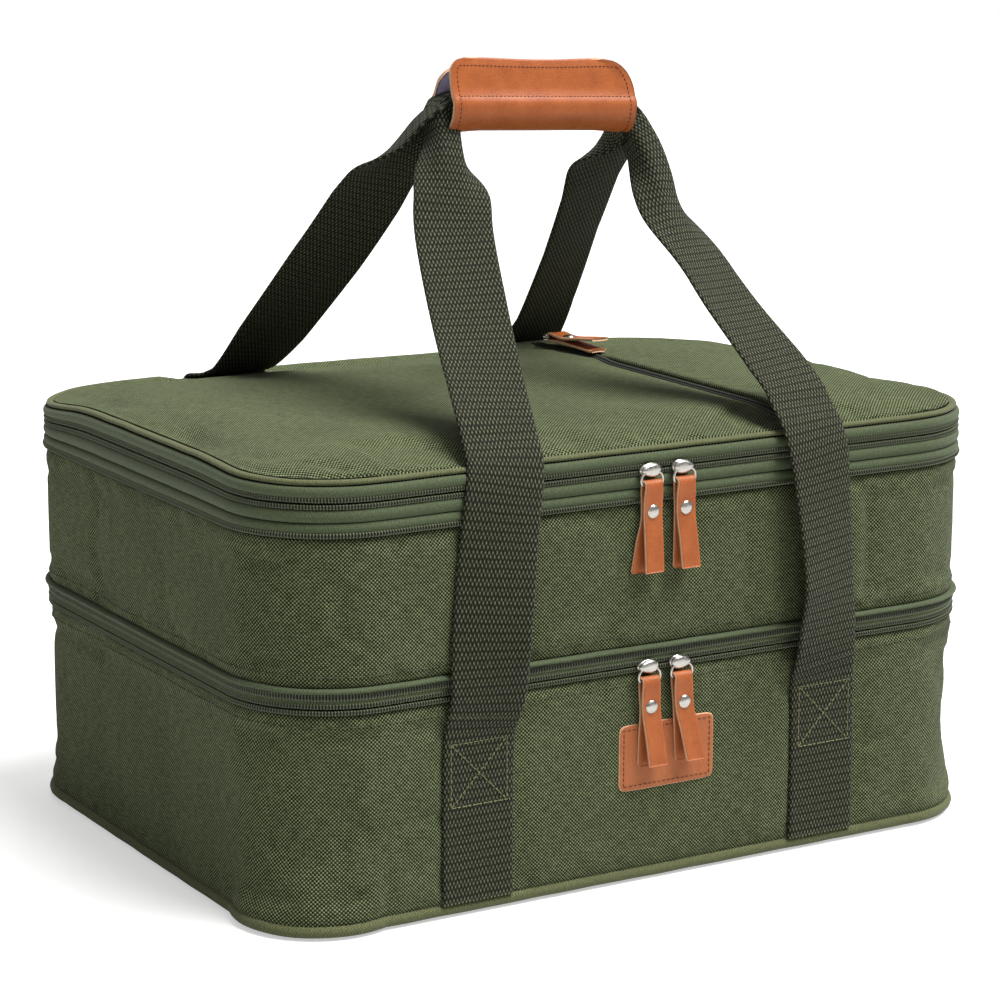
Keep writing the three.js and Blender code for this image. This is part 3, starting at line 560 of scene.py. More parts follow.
def around(ring, grow, z):
    # points at a distance out from the plan and a height, for every station; plain lists make one row an entry
    grow, z = np.broadcast_arrays(np.asarray(grow, float), np.asarray(z, float))
    if grow.ndim == 1:
        grow, z = grow[:, None], z[:, None]
    x, y = ring["x"] + ring["nx"] * grow, ring["y"] + ring["ny"] * grow
    return np.stack([x, y, z - rimSag(x, y, z)], -1)


def ripple(ring, amount, *waves):
    # slow unevenness of sewn cloth: a few sine waves round the body, each a whole number of turns
    turn = ring["run"] / ring["total"] * 2 * np.pi
    return amount * sum(np.sin(turn * n + phase) for n, phase in waves) / len(waves)


def underStrap(x, y):
    # one where a back strap presses on the rim of the lid, falling to nothing beside it
    return smooth(28, 19, np.abs(np.abs(x) - 98)) * smooth(118, 148, y)


def ringBand(name, section, material, square=False, wobble=0.0, dent=0.0):
    # a closed section of (grow, height) carried round the body
    ring = bodyRing(fine)
    grow, height = (column[:, None] + 0 * ring["x"] for column in np.asarray(section, float).T)
    if square:
        grow = grow + squareness(ring, height)
    height = height + ripple(ring, wobble, (7, 0.3), (13, 1.1), (29, 2.0), (47, 0.7))
    height = height - dent * underStrap(ring["x"], ring["y"])
    return gridPiece(name, around(ring, grow, height), material, closeRows=True, closeCols=True)


def roundSection(grow, height, radiusOut, radiusUp, sides=12):
    angle = np.linspace(0, 2 * np.pi, sides, endpoint=False)
    return np.stack([grow + radiusOut * np.cos(angle), height + radiusUp * np.sin(angle)], 1)


def puffedSection(inner, outer, bottom, top, puff, steps=7):
    # a flat tape whose outer face swells by puff between its sewn edges
    share = np.linspace(0, 1, steps)
    face = np.stack([outer + puff * np.sin(np.pi * share) ** 0.7, bottom + (top - bottom) * share], 1)
    return np.vstack([face, (inner, top), (inner, bottom)])


# Padded walls: the outer face is a filled cover sewn along its top and bottom seams and under the strap ends
walls = {
    "lower": {"bottom": 6.6, "top": 107.8, "innerTop": 105.3, "floor": 8.6, "sides": -2.4},
    "upper": {"bottom": 120.9, "top": 192.4, "innerTop": 203.8, "floor": 112.0, "sides": -1.2},
}
padding = {"rows": 19, "inner": -6.4, "seam": -0.5, "puff": 0.75, "ripple": 0.3, "pressure": 2.4, "swell": 1.3}
strapPlaces = {"middle": 102, "halfWidth": 20, "sewnTop": 89}


def paddedWall(name, wall, sewnStraps):
    ring = bodyRing(coarse)
    tall = wall["top"] - wall["bottom"]
    share = np.linspace(0, 1, padding["rows"])[:, None]
    z = wall["bottom"] + tall * share + 0 * ring["x"]
    seam = np.minimum(share, 1 - share) * tall  # distance from the nearer seam
    free = smooth(0, 12, seam)
    grow = padding["seam"] + padding["puff"] * smooth(0, 7, seam)
    grow = grow + ripple(ring, padding["ripple"], (9, 0.4), (17, 1.9), (31, 0.2), (53, 2.6)) * free
    grow = grow + squareness(ring, z) + wall["sides"] * np.abs(ring["nx"]) * free
    points = around(ring, grow, z)
    pinned = np.broadcast_to(seam < 2.5, z.shape)
    onFace = np.abs(ring["ny"]) > 0.99
    off = np.abs(np.abs(ring["x"]) - strapPlaces["middle"])
    half, sewnTop = strapPlaces["halfWidth"], strapPlaces["sewnTop"]
    flat = onFace * smooth(half + 12, half - 2, off) * smooth(sewnTop + 14, sewnTop, z)
    if sewnStraps:  # the cover lies flat behind the sewn strap ends
        pinned = pinned | (onFace & (off < half - 2) & (z < sewnTop))
        level = np.sign(points[..., 1]) * (body["halfDepth"] - 0.4)
        points[..., 1] = points[..., 1] * (1 - flat) + level * flat
    points = settle(points, pinned, padding["pressure"], padding["swell"], True)
    if sewnStraps:
        limit = np.where(onFace, body["halfDepth"] - 0.2 + 2.2 * (1 - flat), np.inf)
        points[..., 1] = np.clip(points[..., 1], -limit, limit)
    face = finer(points, True)
    ring = bodyRing(fine)
    upper, lower = (squareness(ring, wall[key])[None] for key in ("top", "floor"))
    inner = padding["inner"]
    back = (
        (-2.2 + upper, wall["top"] + 0.3), (inner + 1.2 + upper, wall["innerTop"]),
        (inner + upper, wall["innerTop"] - 1.0), (inner + 0 * lower, wall["floor"]),
        (-2.5 + lower, wall["bottom"] - 0.2),
    )
    loop = np.concatenate([face, *(around(ring, *row) for row in back)])
    return gridPiece(name, loop, cloth, closeRows=True, closeCols=True), face


lowerWall, lowerFace = paddedWall("lowerPaddedWall", walls["lower"], True)
done(lowerWall, "heather_cloth", "base", "lower_outer_wall", "lower_foam_wall")
upperWall, upperFace = paddedWall("upperPaddedWall", walls["upper"], False)
done(upperWall, "heather_cloth", "upper_deck", "upper_outer_wall", "upper_foam_wall")
print("padded walls made")

# Base: a coated panel with a rounded edge, as rings from its middle out and back, and corded piping round it
base = {
    "edge": -3.3, "shares": (0, 0.3, 0.6, 0.85, 1, 1, 0.85, 0.6, 0.3, 0),
    "lift": (0.25, 0.2, 0.1, 0, 0.5, 1.2, 1.6, 1.6, 1.6, 1.6), "piping": (-1.6, 4.0, 3.0, 3.0),
}
baseRing = bodyRing(coarse)
baseEdge = around(baseRing, (base["edge"] + squareness(baseRing, 0.0))[None], 0.0)[0]
basePanel = polePiece("basePanel", drawnIn(baseEdge, base["shares"], base["lift"]), [baseCoat])
done(basePanel, "base_cloth", "base", "base_panel")
basePiping = ringBand("basePiping", roundSection(*base["piping"]), pipingTwill, square=True, wobble=0.25)
done(basePiping, "piping", "base", "base_piping")

# Zips: each half is a puffed tape, as (inner, outer, bottom, top, puff), with a coil of nylon along its edge;
# the teeth are drawn at one and a half times size
zips = {"pitch": 1.5, "samples": 5, "inner": -0.8, "proud": 1.5, "half": 1.3}
zipHalves = {
    "lowerZipBase": {"node": "lower_zip_base_half", "body": "base", "coil": 109.4, "shift": 0.0,
                     "tape": (-2.6, -1.4, 105.4, 110.2, 0.2)},
    "lowerZipDeck": {"node": "lower_zip_deck_half", "body": "upper_deck", "coil": 112.6, "shift": 0.5,
                     "tape": (-1.3, -0.1, 112.0, 115.6, 0.5)},
    "ledgeZip": {"node": "expansion_zip_lower_half", "body": "upper_deck", "coil": 117.0, "shift": 0.25,
                 "tape": (-1.3, -0.2, 114.8, 119.2, 0.1), "proud": 1.6, "half": 1.9},
    "expansionZip": {"node": "expansion_zip_upper_half", "body": "upper_deck", "coil": 194.5, "shift": 0.1,
                     "tape": (-1.3, 0.3, 195.2, 200.2, 1.4), "proud": 2.4, "half": 1.5},
    "lidZipDeck": {"node": "lid_zip_deck_half", "body": "upper_deck", "coil": 208.0, "shift": 0.0,
                   "tape": (-1.3, 0.3, 200.6, 206.6, 1.4)},
    "lidZipLid": {"node": "lid_zip_lid_half", "body": "lid", "coil": 211.2, "shift": 0.5,
                  "tape": (-1.3, 0.3, 212.2, 217.4, 1.3)},
}


def coilBand(name, made):
    # a bead whose girth swells once a tooth, leaning a little, so that it reads as a wound coil
    made = {**zips, **made}
    count = int(round(bodyRing(8)["total"] / made["pitch"])) * made["samples"]
    teeth = np.arange(count + 1) / made["samples"] + made["shift"]
    angle = np.linspace(0, 2 * np.pi, 8, endpoint=False)[:, None]
    lean = 0.5 + 0.5 * np.cos(2 * np.pi * teeth[None, :-1] + 0.9 * np.sin(angle))
    middle, out = (made["proud"] + made["inner"]) / 2, (made["proud"] - made["inner"]) / 2
    grow = middle + out * np.cos(angle) * (0.6 + 0.4 * lean)
    z = made["coil"] + made["half"] * np.sin(angle) * (0.75 + 0.25 * lean)
    points = around(bodyRing(count), grow, z)
    return gridPiece(name, points, coil, closeRows=True, closeCols=True, runs=(teeth, np.linspace(0, 1, 9)))


for name, made in zipHalves.items():
    tape = ringBand(name + "Tape", puffedSection(*made["tape"]), zipTape, wobble=0.12)
    done(tape, "zip_tape", made["body"], made["node"])
    done(coilBand(name + "Coil", made), "zip_tape", made["body"])
ledge = ringBand("expansionLedge", roundSection(0.7, 120.1, 2.3, 1.25, 14), zipTape, wobble=0.25)
done(ledge, "zip_tape", "upper_deck", "expansion_ledge")
print("zips made")

# Padded lid: a filled cover sewn round its rim and along the pocket zip's slit; its crown, sinking and dents
lid = {
    "edge": -4.3, "rim": 220.7, "rise": 9.0, "run": 46.0, "slitX": 87.0, "slitFront": -147.0, "slitBack": 104.0,
    "backDrop": 9.0, "backAt": (15, 155), "rightDrop": 1.6, "rightAt": (120, 205), "tilt": 0.15,
    "stiff": 0.62, "stiffWidth": 40, "stiffAt": (140, 108),
    "hollow": 5.6, "hollowX": (-199, 8), "hollowY": (-46, 32),
    "strapDent": 3.0, "valley": 3.2, "valleyWidth": 19, "lip": 4.0, "lipFall": 0.8, "lipLean": 2.8,
    "pressure": 1.5, "swell": 1.2, "depth": 7.3, "liningDepth": 8.6, "underDrop": 3.4, "underHeight": 213.0,
}


def insetOf(x, y):
    # distance in from the lid's edge
    radius = body["corner"] + lid["edge"]
    farX = np.abs(x) - (body["halfWidth"] + lid["edge"] - radius)
    farY = np.abs(y) - (body["halfDepth"] + lid["edge"] - radius)
    return radius - np.hypot(np.maximum(farX, 0), np.maximum(farY, 0)) - np.minimum(np.maximum(farX, farY), 0)


def lidGrid(leftCols, rightCols, rowCount, grow):
    # rows from front to back; columns run from the left edge to the slit, and from it to the right edge
    reach, slit = body["halfDepth"] + grow, lid["slitX"]
    turn = np.linspace(-np.pi / 2, np.pi / 2, rowCount)
    y = reach * (0.55 * np.sin(turn) + 0.45 * np.linspace(-1, 1, rowCount))[:, None]
    radius = body["corner"] + grow
    far = np.maximum(np.abs(y) - (reach - radius), 0)
    wide = body["halfWidth"] + grow - radius + np.sqrt(np.maximum(radius ** 2 - far ** 2, 0))
    ease = lambda n, power: 1 - (1 - np.linspace(0, 1, n)) ** power
    left = -wide + (slit + wide) * ease(leftCols, 1.5)
    right = slit + (wide - slit) * (1 - ease(rightCols, 1.4)[::-1])[1:]
    x = np.concatenate([left, right], 1)
    return x, y + 0 * x


def crownAt(x, y):
    share = np.clip(insetOf(x, y) / lid["run"], 0, 1)
    return lid["rise"] * (1 - (1 - share) ** 2)


def backSettle(x, y):
    # the lid sinks towards its back, more on the right, but hardly along the pocket zip
    stiff = 1 - lid["stiff"] * bell(x, lid["slitX"], lid["stiffWidth"]) * smooth(*lid["stiffAt"], y)
    sunk = lid["backDrop"] * smooth(*lid["backAt"], y) * (1 + lid["tilt"] * x / body["halfWidth"]) * stiff
    return sunk + lid["rightDrop"] * smooth(*lid["rightAt"], x)


def underLid(x, y, depth):
    # the lid's inside, which follows the sinking only in part
    sunk = np.minimum(backSettle(x, y), lid["underDrop"])
    return lid["rim"] - depth + crownAt(x, y) - np.maximum(sunk, rimSag(x, y, lid["underHeight"]))


def slitProfile(x, y):
    # left of the pocket zip the cover sinks to it in a long slope; right of it a rolled lip stands over it
    front, back = lid["slitFront"], lid["slitBack"]
    deep = hump((front - 6, front + 8), (back + 6, back - 8), y) * (1 - 0.6 * smooth(20, 40, y))
    off = x - lid["slitX"]
    valley = -lid["valley"] * bell(np.minimum(off, 0), 0, lid["valleyWidth"])
    lip = -lid["valley"] + lid["lip"] * smooth(0, 4.5, off) - lid["lipFall"] * smooth(5, 60, off)
    lean = -lid["lipLean"] * smooth(0, 3.5, off) * smooth(12, 4.5, off)
    return deep * lean, deep * np.where(off < 0, valley, lip)


def lidTop():
    x, y = lidGrid(74, 44, 78, lid["edge"])
    inset = insetOf(x, y)
    inner = smooth(0, 14, inset)
    # slow waves in the cover; the zip and the back rim lie straight
    waves = 0.5 * np.sin(x / 31 + 0.6) * np.sin(y / 27 + 1.3) + 0.35 * np.sin(x / 17 + y / 23)
    waves = waves * (1 - bell(x, lid["slitX"], 22)) * smooth(125, 40, y) * smooth(4, 40, inset)
    # a long pinch just inside the left rim
    hollow = lid["hollow"] * bell(x, *lid["hollowX"]) * bell(y, *lid["hollowY"]) * smooth(0, 6, inset)
    z = lid["rim"] + crownAt(x, y) - 0.8 * smooth(2, 30, inset) - lid["strapDent"] * underStrap(x, y)
    z = z - backSettle(x, y) * inner - rimSag(x, y, rim["full"]) * (1 - inner)
    points = np.stack([x, y, z - hollow + waves], -1)
    pinned = (np.abs(x - lid["slitX"]) < 5) & (y > lid["slitFront"]) & (y < lid["slitBack"])
    pinned[[0, -1]] = pinned[:, [0, -1]] = True
    # the zip and the tight back rim keep the cover from puckering beside them
    taut = np.maximum(bell(x, lid["slitX"], 15), smooth(50, 105, y))[..., None]
    points = points * taut + settle(points, pinned, lid["pressure"], lid["swell"], False) * (1 - taut)
    lean, lift = slitProfile(points[..., 0], points[..., 1])
    points[..., 0] += lean
    points[..., 2] += lift
    top = finer(points)
    under = finer(np.stack([x, y, underLid(x, y, lid["depth"])], -1))
    plan = finer(np.stack([x, y], -1)) * mm
    loop, plan = (np.concatenate([a, b[::-1]]) for a, b in ((top, under), (plan, plan)))
    return gridPiece("paddedLid", loop, cloth, closeRows=True, capCols=True, uvGrid=plan), top


def lidLining():
    # the wipe-clean film under the lid, a thin closed shell
    x, y = lidGrid(30, 20, 36, lid["edge"] - 0.3)
    z = underLid(x, y, lid["liningDepth"])
    top, under = (np.stack([x, y, z + up], -1) for up in (0.4, -0.4))
    return gridPiece("lidLining", np.concatenate([top, under[::-1]]), film, closeRows=True, capCols=True)


paddedLid, lidFace = lidTop()
done(paddedLid, "heather_cloth", "lid", "lid_outer", "lid_foam")
done(lidLining(), "liner", "lid", "lid_liner")
lidCord = roundSection(-2.2, 219.2, 2.1, 1.35)
lidPiping = ringBand("lidPiping", lidCord, pipingTwill, wobble=0.2, dent=lid["strapDent"])
done(lidPiping, "piping", "lid", "lid_piping")
lidRimBinding = ringBand("lidRimBinding", puffedSection(-11.5, -3.4, 211.2, 212.0, 0.0, 3), bindingTape)
done(lidRimBinding, "heather_cloth", "lid")
print("lid made")

# Pocket zip in its slit: near-black tape with a coil along the middle, four points to a tooth; the near-black
# is partly the zip's own colour and partly painted shade of the slit
pocket = {
    "x": 86.0, "front": -143.0, "back": 104.0, "half": 2.8, "thickness": 0.6, "lift": 0.3, "end": 2.0,
    "steps": 160,
}


def lidHeight(x, y):
    # height of the finished lid at a place, read from its own grid by the nearest point
    flat = lidFace.reshape(-1, 3)
    near = np.argmin((flat[:, 0] - x[:, None]) ** 2 + (flat[:, 1] - y[:, None]) ** 2, 1)
    return flat[near, 2]


def pocketZip():
    y = np.linspace(pocket["front"], pocket["back"], pocket["steps"])
    z = lidHeight(pocket["x"] + 0 * y, y)
    z = np.convolve(np.pad(z, 4, mode="edge"), np.ones(9) / 9, "valid") + pocket["lift"]
    across = np.linspace(-1, 1, 7)[:, None]
    middle = np.stack([pocket["x"] + pocket["half"] * across + 0 * y, y + 0 * across, z + 0 * across], -1)
    tape = shell("pocketTape", middle, pocket["thickness"], [darkCoilAndSlitShade])
    count = int((pocket["back"] - pocket["front"] - 2 * pocket["end"]) / zips["pitch"]) * 4
    line = np.linspace(pocket["front"] + pocket["end"], pocket["back"] - pocket["end"], count)
    path = np.stack([pocket["x"] + 0 * line, line, np.interp(line, y, z) + pocket["lift"]], 1)
    girth = 0.9 + 0.35 * np.cos(np.arange(count) * np.pi / 2)
    return tape, tube("pocketCoil", path, girth, darkCoilAndSlitShade, 8, (0, 0, 1), closed=False), y, z


pocketTape, pocketCoil, pocketY, pocketZ = pocketZip()
done(pocketTape, "zip_tape", "lid", "pocket_zip")
done(pocketCoil, "zip_tape", "lid")

# Linings of the two decks: a silvered tub with a filleted floor, and a bound rim as (grow, height from the rim)
decks = {
    "lower": {"floor": 9.2, "rim": 105.4, "body": "base", "node": "lower_liner"},
    "upper": {"floor": 119.5, "rim": 203.9, "body": "upper_deck", "node": "upper_liner"},
}
lining = {
    "outer": -6.8, "wall": 0.8, "fillet": 9.0, "shares": (0, 0.25, 0.5, 0.75, 0.92),
    "binding": (
        (-9.6, -8.0), (-9.3, -0.5), (-8.0, 0.9), (-5.0, 1.0),
        (-4.2, 0.2), (-6.0, -0.6), (-7.9, -1.2), (-8.2, -8.0)),
}


def deckLining(name, low, top):
    # profile from the middle of the underside out, up the wall, over the rim, down and in along the floor
    outer, wall, fillet, shares = (lining[key] for key in ("outer", "wall", "fillet", "shares"))
    inner, hollow = outer - wall, fillet - wall
    sin, cos = (wave(np.linspace(0, np.pi / 2, 7)[1:-1]) for wave in (np.sin, np.cos))
    section = np.vstack([
        (outer - fillet, low), np.stack([outer - fillet * (1 - sin), low + fillet * (1 - cos)], 1),
        (outer, low + fillet), (outer, top), (inner, top), (inner, low + fillet),
        np.stack([inner - hollow * (1 - cos), low + fillet - hollow * sin], 1), (outer - fillet, low + wall),
    ])
    sides = around(bodyRing(coarse), *section.T)
    under, floor = drawnIn(sides[0], shares, low), drawnIn(sides[-1], shares[::-1], low + wall)
    return polePiece(name, np.concatenate([under, sides, floor]), [film])


for key, deck in decks.items():
    done(deckLining(key + "Lining", deck["floor"], deck["rim"]), "liner", deck["body"], deck["node"])
    binding = ringBand(key + "RimBinding", np.add(lining["binding"], (0, deck["rim"])), bindingTape)
    done(binding, "heather_cloth", deck["body"])

# Floor pads: a foam slab in a cover, with rounded edges
pads = {"edge": -6.8, "shares": (0, 0.3, 0.6, 0.85, 0.96)}


def floorPad(name, bottom, top, material):
    middle, half = (bottom + top) / 2, (top - bottom) / 2
    bend = np.linspace(-np.pi / 2, np.pi / 2, 9)
    edge = around(bodyRing(coarse), pads["edge"] - half * (1 - np.cos(bend)), middle + half * np.sin(bend))
    under, over = drawnIn(edge[0], pads["shares"], bottom), drawnIn(edge[-1], pads["shares"][::-1], top)
    return polePiece(name, np.concatenate([under, edge, over]), [material])


dividerPad = floorPad("dividerPad", 111.3, 119.2, cloth)
done(dividerPad, "foam", "upper_deck", "divider_pad")
lowerFloorPad = floorPad("lowerFloorPad", 1.9, 8.9, felt)
done(lowerFloorPad, "foam", "base", "lower_foam_floor")
print("linings and floors made")

# Cloth hinges along the back, one between the decks and one under the lid, tucked in along both edges
hinges = {"half": 148.0, "y": 157.85, "thickness": 0.8, "bow": 0.25, "tuck": 0.9}


def clothHinge(name, bottom, top):
    z = np.linspace(bottom, top, 15)[:, None]
    x = np.linspace(-hinges["half"], hinges["half"], 150)[None]
    bow = hinges["bow"] * np.sin(x / 19) * np.sin(np.pi * (z - bottom) / (top - bottom))
    tuck = -hinges["tuck"] * (smooth(bottom + 2.5, bottom, z) + smooth(top - 2.5, top, z))
    middle = np.stack([x + 0 * z, hinges["y"] + bow + tuck, z - rimSag(x, 150.0, z)], -1)
    obj = shell(name, middle, hinges["thickness"], [cloth])
    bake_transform(obj)


clothHinge("deckHinge", 103.5, 117.5)
clothHinge("lidHinge", 203.0, 217.0)

# Handles: one webbing each side, sewn low on the wall, leaning in over the lid and folded inside the wrap.
# The paths are of the right strap, with y out from the middle for the front one. A sway moves a stretch of both
# straps to one side. Over the gather heights a strap folds; it rolls by an angle at each of a row of heights.
handles = {
    "width": 38.0, "thickness": 1.8, "cut": 99.0, "tilt": 0.045, "tiltHeights": (330, 370),
    "front": [
        (102, 157.3, 6.9), (102, 157.3, 50), (101.4, 157.5, 87), (100.2, 160.6, 100), (99.4, 163.4, 112),
        (99, 165, 138), (97.3, 164.6, 160), (95.4, 163.6, 180), (92.6, 162.5, 203), (90.6, 160.8, 214.5),
        (89.2, 157, 223.5), (88, 149.8, 232), (87, 143.5, 240), (83.5, 129, 253), (75, 98, 281), (66, 67, 317),
        (62.4, 54.4, 338), (59.8, 46.6, 352), (57.6, 40.4, 361.5), (55.6, 37, 368.4), (50.6, 36, 373.4),
        (43, 36, 375.2), (30, 36, 375.8), (0, 36, 375.8)],
    "back": [
        (102, 157.3, 6.9), (102, 157.3, 50), (102, 157.4, 88), (102, 160.6, 108.5), (102, 162.2, 120),
        (102, 162.6, 165), (101.6, 162.2, 203), (100.4, 160.8, 209.4), (99, 157.4, 214.4), (97.4, 151.4, 217),
        (95.4, 142.5, 219.2), (92.6, 129.5, 225.8), (85.6, 99, 250.2), (74, 46, 299), (65.5, 8, 338),
        (61.4, -10, 354), (57.8, -21, 364), (51.4, -28.2, 371), (43, -30, 374.6), (30, -30, 375.6),
        (0, -30, 375.6)],
    "sway": -3.0, "swayHeights": (300, 120), "gripSway": 4.0, "gripHeights": ((318, 350), (375, 364)),
    "backSway": 6.0, "backHeights": ((120, 215), (335, 240)),
    "leftFoot": 4.0, "footHeights": ((130, 212), (246, 222)),
    "gather": {
        ("front", -1): (330, 369), ("front", 1): (292, 364), ("back", -1): (336, 374), ("back", 1): (336, 374)},
    "roll": {
        "front": ((88, 105, 118, 140, 165, 190, 205, 222, 250, 290, 328, 356),
                  (0, 0.1, 0.16, 0.3, 0.27, 0.19, 0.14, 0.1, 0.08, 0.26, 0.3, 0)),
        "back": ((222, 245, 290, 325, 350), (0, -0.2, -0.3, -0.25, 0))},
    "tuck": (2.5, 8.5), "foldGap": 2.0, "cup": 0.5, "cupHeights": (110, 200), "cupWave": 41,
}


def strapPath(place, side, hand):
    path = np.array(handles[place], float) * np.array([hand, side if place == "front" else 1, 1])
    z = path[:, 2].copy()
    if place == "front":
        path[:, 0] += handles["sway"] * smooth(*handles["swayHeights"], z)
        path[:, 0] += handles["gripSway"] * hump(*handles["gripHeights"], z)
    else:
        path[:, 0] += handles["backSway"] * hump(*handles["backHeights"], z)
        path[:, 0] += handles["leftFoot"] * (hand < 0) * hump(*handles["footHeights"], z)
    path[:, 2] -= handles["tilt"] * path[:, 0] * smooth(*handles["tiltHeights"], z)
    return curve(path, 240)


def strapGrid(path, place, side, hand):
    # webbing along its path; near the grip its edges turn under until the two halves lie face to face
    z = path[:, 2]
    along = unit(np.gradient(path, axis=0))
    flatOut = unit(np.stack([0 * z, side * along[:, 2], -side * along[:, 1]], 1))
    gathered = smooth(*handles["gather"][place, hand], z)[:, None]
    out = unit(flatOut * (1 - gathered) + np.array([0, side, 0]) * gathered)
    across = unit(np.cross(along, out))
    out = unit(np.cross(across, along))
    # in the roll, at the front the inner edge stands further off the wall, at the back it turns to the front
    roll = hand * side * np.interp(z, *handles["roll"][place])[:, None]
    across, out = across * np.cos(roll) + out * np.sin(roll), out * np.cos(roll) - across * np.sin(roll)
    s = np.linspace(-1, 1, 21) * handles["width"] / 2
    turn = gathered * np.pi / 2 * np.sign(s) * smooth(*handles["tuck"], np.abs(s))

    def summed(slope):
        # a slope added up across the strap, from its middle
        steps = np.cumsum((slope[:, 1:] + slope[:, :-1]) / 2 * np.diff(s), 1)
        return np.concatenate([0 * slope[:, :1], steps], 1) - steps[:, len(s) // 2 - 1:len(s) // 2]

    wide = summed(np.cos(turn))
    deep = summed(-np.abs(np.sin(turn)) * np.sign(s)) + handles["foldGap"] * gathered
    wave = handles["cup"] * smooth(*handles["cupHeights"], z) * np.sin(runOf(path) / handles["cupWave"])
    cup = wave[:, None] * (1 - gathered) * ((2 * s / handles["width"]) ** 2 - 0.4)
    points = path[:, None] + across[:, None] * wide[..., None] + out[:, None] * (deep + cup)[..., None]
    return points.transpose(1, 0, 2)


def swapUv(obj):
    # the grid's rows run across the strap, so u and v change places: u across, v along
    layer = obj.data.uv_layers[0].data
    found = np.empty(len(layer) * 2, np.float32)
    layer.foreach_get("uv", found)
    layer.foreach_set("uv", found.reshape(-1, 2)[:, ::-1].ravel())


def straps(place, side):
    for hand, sign in (("Left", -1.0), ("Right", 1.0)):
        path = strapPath(place, side, sign)
        grid = strapGrid(path, place, side, sign)
        cut = int(np.argmin(np.abs(path[:120, 2] - handles["cut"])))
        low = shell(f"{place}{hand}StrapEnd", grid[:, :cut + 1], handles["thickness"], [webbing], roundEdge=0.9)
        high = shell(f"{place}{hand}Strap", grid[:, cut:], handles["thickness"], [webbing], roundEdge=0.9)
        for obj in (low, high):
            swapUv(obj)
        node = f"{place}_{hand.lower()}"
        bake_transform(low)
        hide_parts(f"{node}_strap_end")
        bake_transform(high)
        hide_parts(f"{node}_leg", *([f"{place}_loop"] if hand == "Left" else []))


straps("front", -1.0)
straps("back", 1.0)
print("handles made")

# Box and cross stitching that holds the strap ends, and the topstitching under the lower zip and over the ledge
boxStitch = {"half": 15.5, "bottom": 55.5, "top": 87.0, "y": 158.3, "middle": 102.0}
boxThread = {"pitch": 2.9, "length": 2.3, "width": 0.5, "height": 0.35}
wallThread = {"pitch": 3.2, "length": 2.5, "width": 0.6, "height": 0.4}


def faceRow(x, y, z, side):
    # a line on an upright face and its normals
    return np.stack([x, y + 0 * x, z], 1), np.tile([0, side, 0], (len(x), 1))


def boxed(half, bottom, top):
    return np.array([(-half, bottom), (half, bottom), (half, top), (-half, top), (-half, bottom)])


def boxRows(middle, side):
    box = boxed(boxStitch["half"], boxStitch["bottom"], boxStitch["top"])
    marks = box, box[[0, 2]], box[[3, 1]]
    return [faceRow(middle + mark[:, 0], side * boxStitch["y"], mark[:, 1], side) for mark in marks]


for place, side in (("front", -1.0), ("back", 1.0)):
    shift = handles["sway"] * (side < 0)
    rows = [row for hand in (-1, 1) for row in boxRows(hand * boxStitch["middle"] + shift, side)]
    done(stitches(f"{place}BoxStitch", rows, oliveThread, **boxThread), "webbing", "base")


def wallStitch(name, face, height, bodyName):
    # a row of stitches on the wall's own surface at one height
    row = int(np.argmin(np.abs(face[:, 0, 2] - height)))
    ring = bodyRing(face.shape[1])
    normal = np.stack([ring["nx"], ring["ny"], 0 * ring["nx"]], 1)
    line, normal = (np.vstack([a, a[:1]]) for a in (face[row], normal))
    done(stitches(name, [(line, normal)], greenThread, **wallThread), "heather_cloth", bodyName)


wallStitch("lowerTopstitch", lowerFace, 101.5, "base")
wallStitch("upperTopstitch", upperFace, 126.5, "upper_deck")
print("stitching made")

# Leather label patch, bare, with a stitched border; rings from the middle of its back to that of its front
label = {
    "x": 3.0, "y": -156.9, "z": 65.0, "half": (28.0, 17.0), "thickness": 1.6, "cornerPower": 0.16,
    "inset": (60, 1.2, 0.4, 0, 0, 0.35, 1.1, 3, 8, 60), "out": (0, 0, 0, 0.3, 1.1, 1.5, 1.6, 1.62, 1.7, 1.75),
    "slots": (0, 0, 1, 1, 1, 0, 0, 0, 0, 0), "border": 2.6, "threadOut": 1.45,
}
labelThread = {"pitch": 2.8, "length": 2.1, "width": 0.65, "height": 0.4}


def labelPatch():
    angle = np.linspace(0, 2 * np.pi, 96, endpoint=False)
    waves = np.stack([np.cos(angle), np.sin(angle)], 1)
    plan = np.sign(waves) * np.abs(waves) ** label["cornerPower"] * label["half"]
    rings = plan * np.maximum(1 - np.array(label["inset"])[:, None, None] / label["half"], 0)
    out = np.array(label["out"])[:, None] * label["thickness"] / label["out"][-1] + 0 * angle
    points = np.stack([label["x"] + rings[..., 0], label["y"] - out, label["z"] + rings[..., 1]], -1)
    return polePiece("labelPatch", points, [labelLeather, leatherEdge], rowSlots=label["slots"])


def labelStitch():
    wide, tall = np.array(label["half"]) - label["border"]
    border = boxed(wide, -tall, tall)
    row = faceRow(label["x"] + border[:, 0], label["y"] - label["threadOut"], label["z"] + border[:, 1], -1.0)
    return stitches("labelStitch", [row], brownThread, **labelThread)


done(labelPatch(), "leather", "base", "label_patch")
done(labelStitch(), "leather", "base")

# Grip wrap: one piece of leather, lined, turned up round both grips; the two flaps meet and lean together.
# Beside each height of a flap, up from the tube, stands its distance out; the back flap leans on the front one.
wrap = {
    "half": 53.9, "thickness": 2.0, "y": -35.0, "reach": 10.4, "turn": 374.0, "seam": 380.4,
    "corner": (9.0, 17.0), "belly": 0.6, "flare": 0.9, "sag": 0.9, "endSag": 1.1,
    "front": {"side": -1.0, "top": 399.4, "out": (10.5, 9.9, 8.6, 7.0, 5.0, 3.7)},
    "back": {"side": 1.0, "top": 394.4, "out": (10.4, 9.6, 8.0, 5.4, 1.6, -0.6)},
}
wrapThread = {"pitch": 2.3, "length": 1.6, "width": 0.55, "height": 0.35}


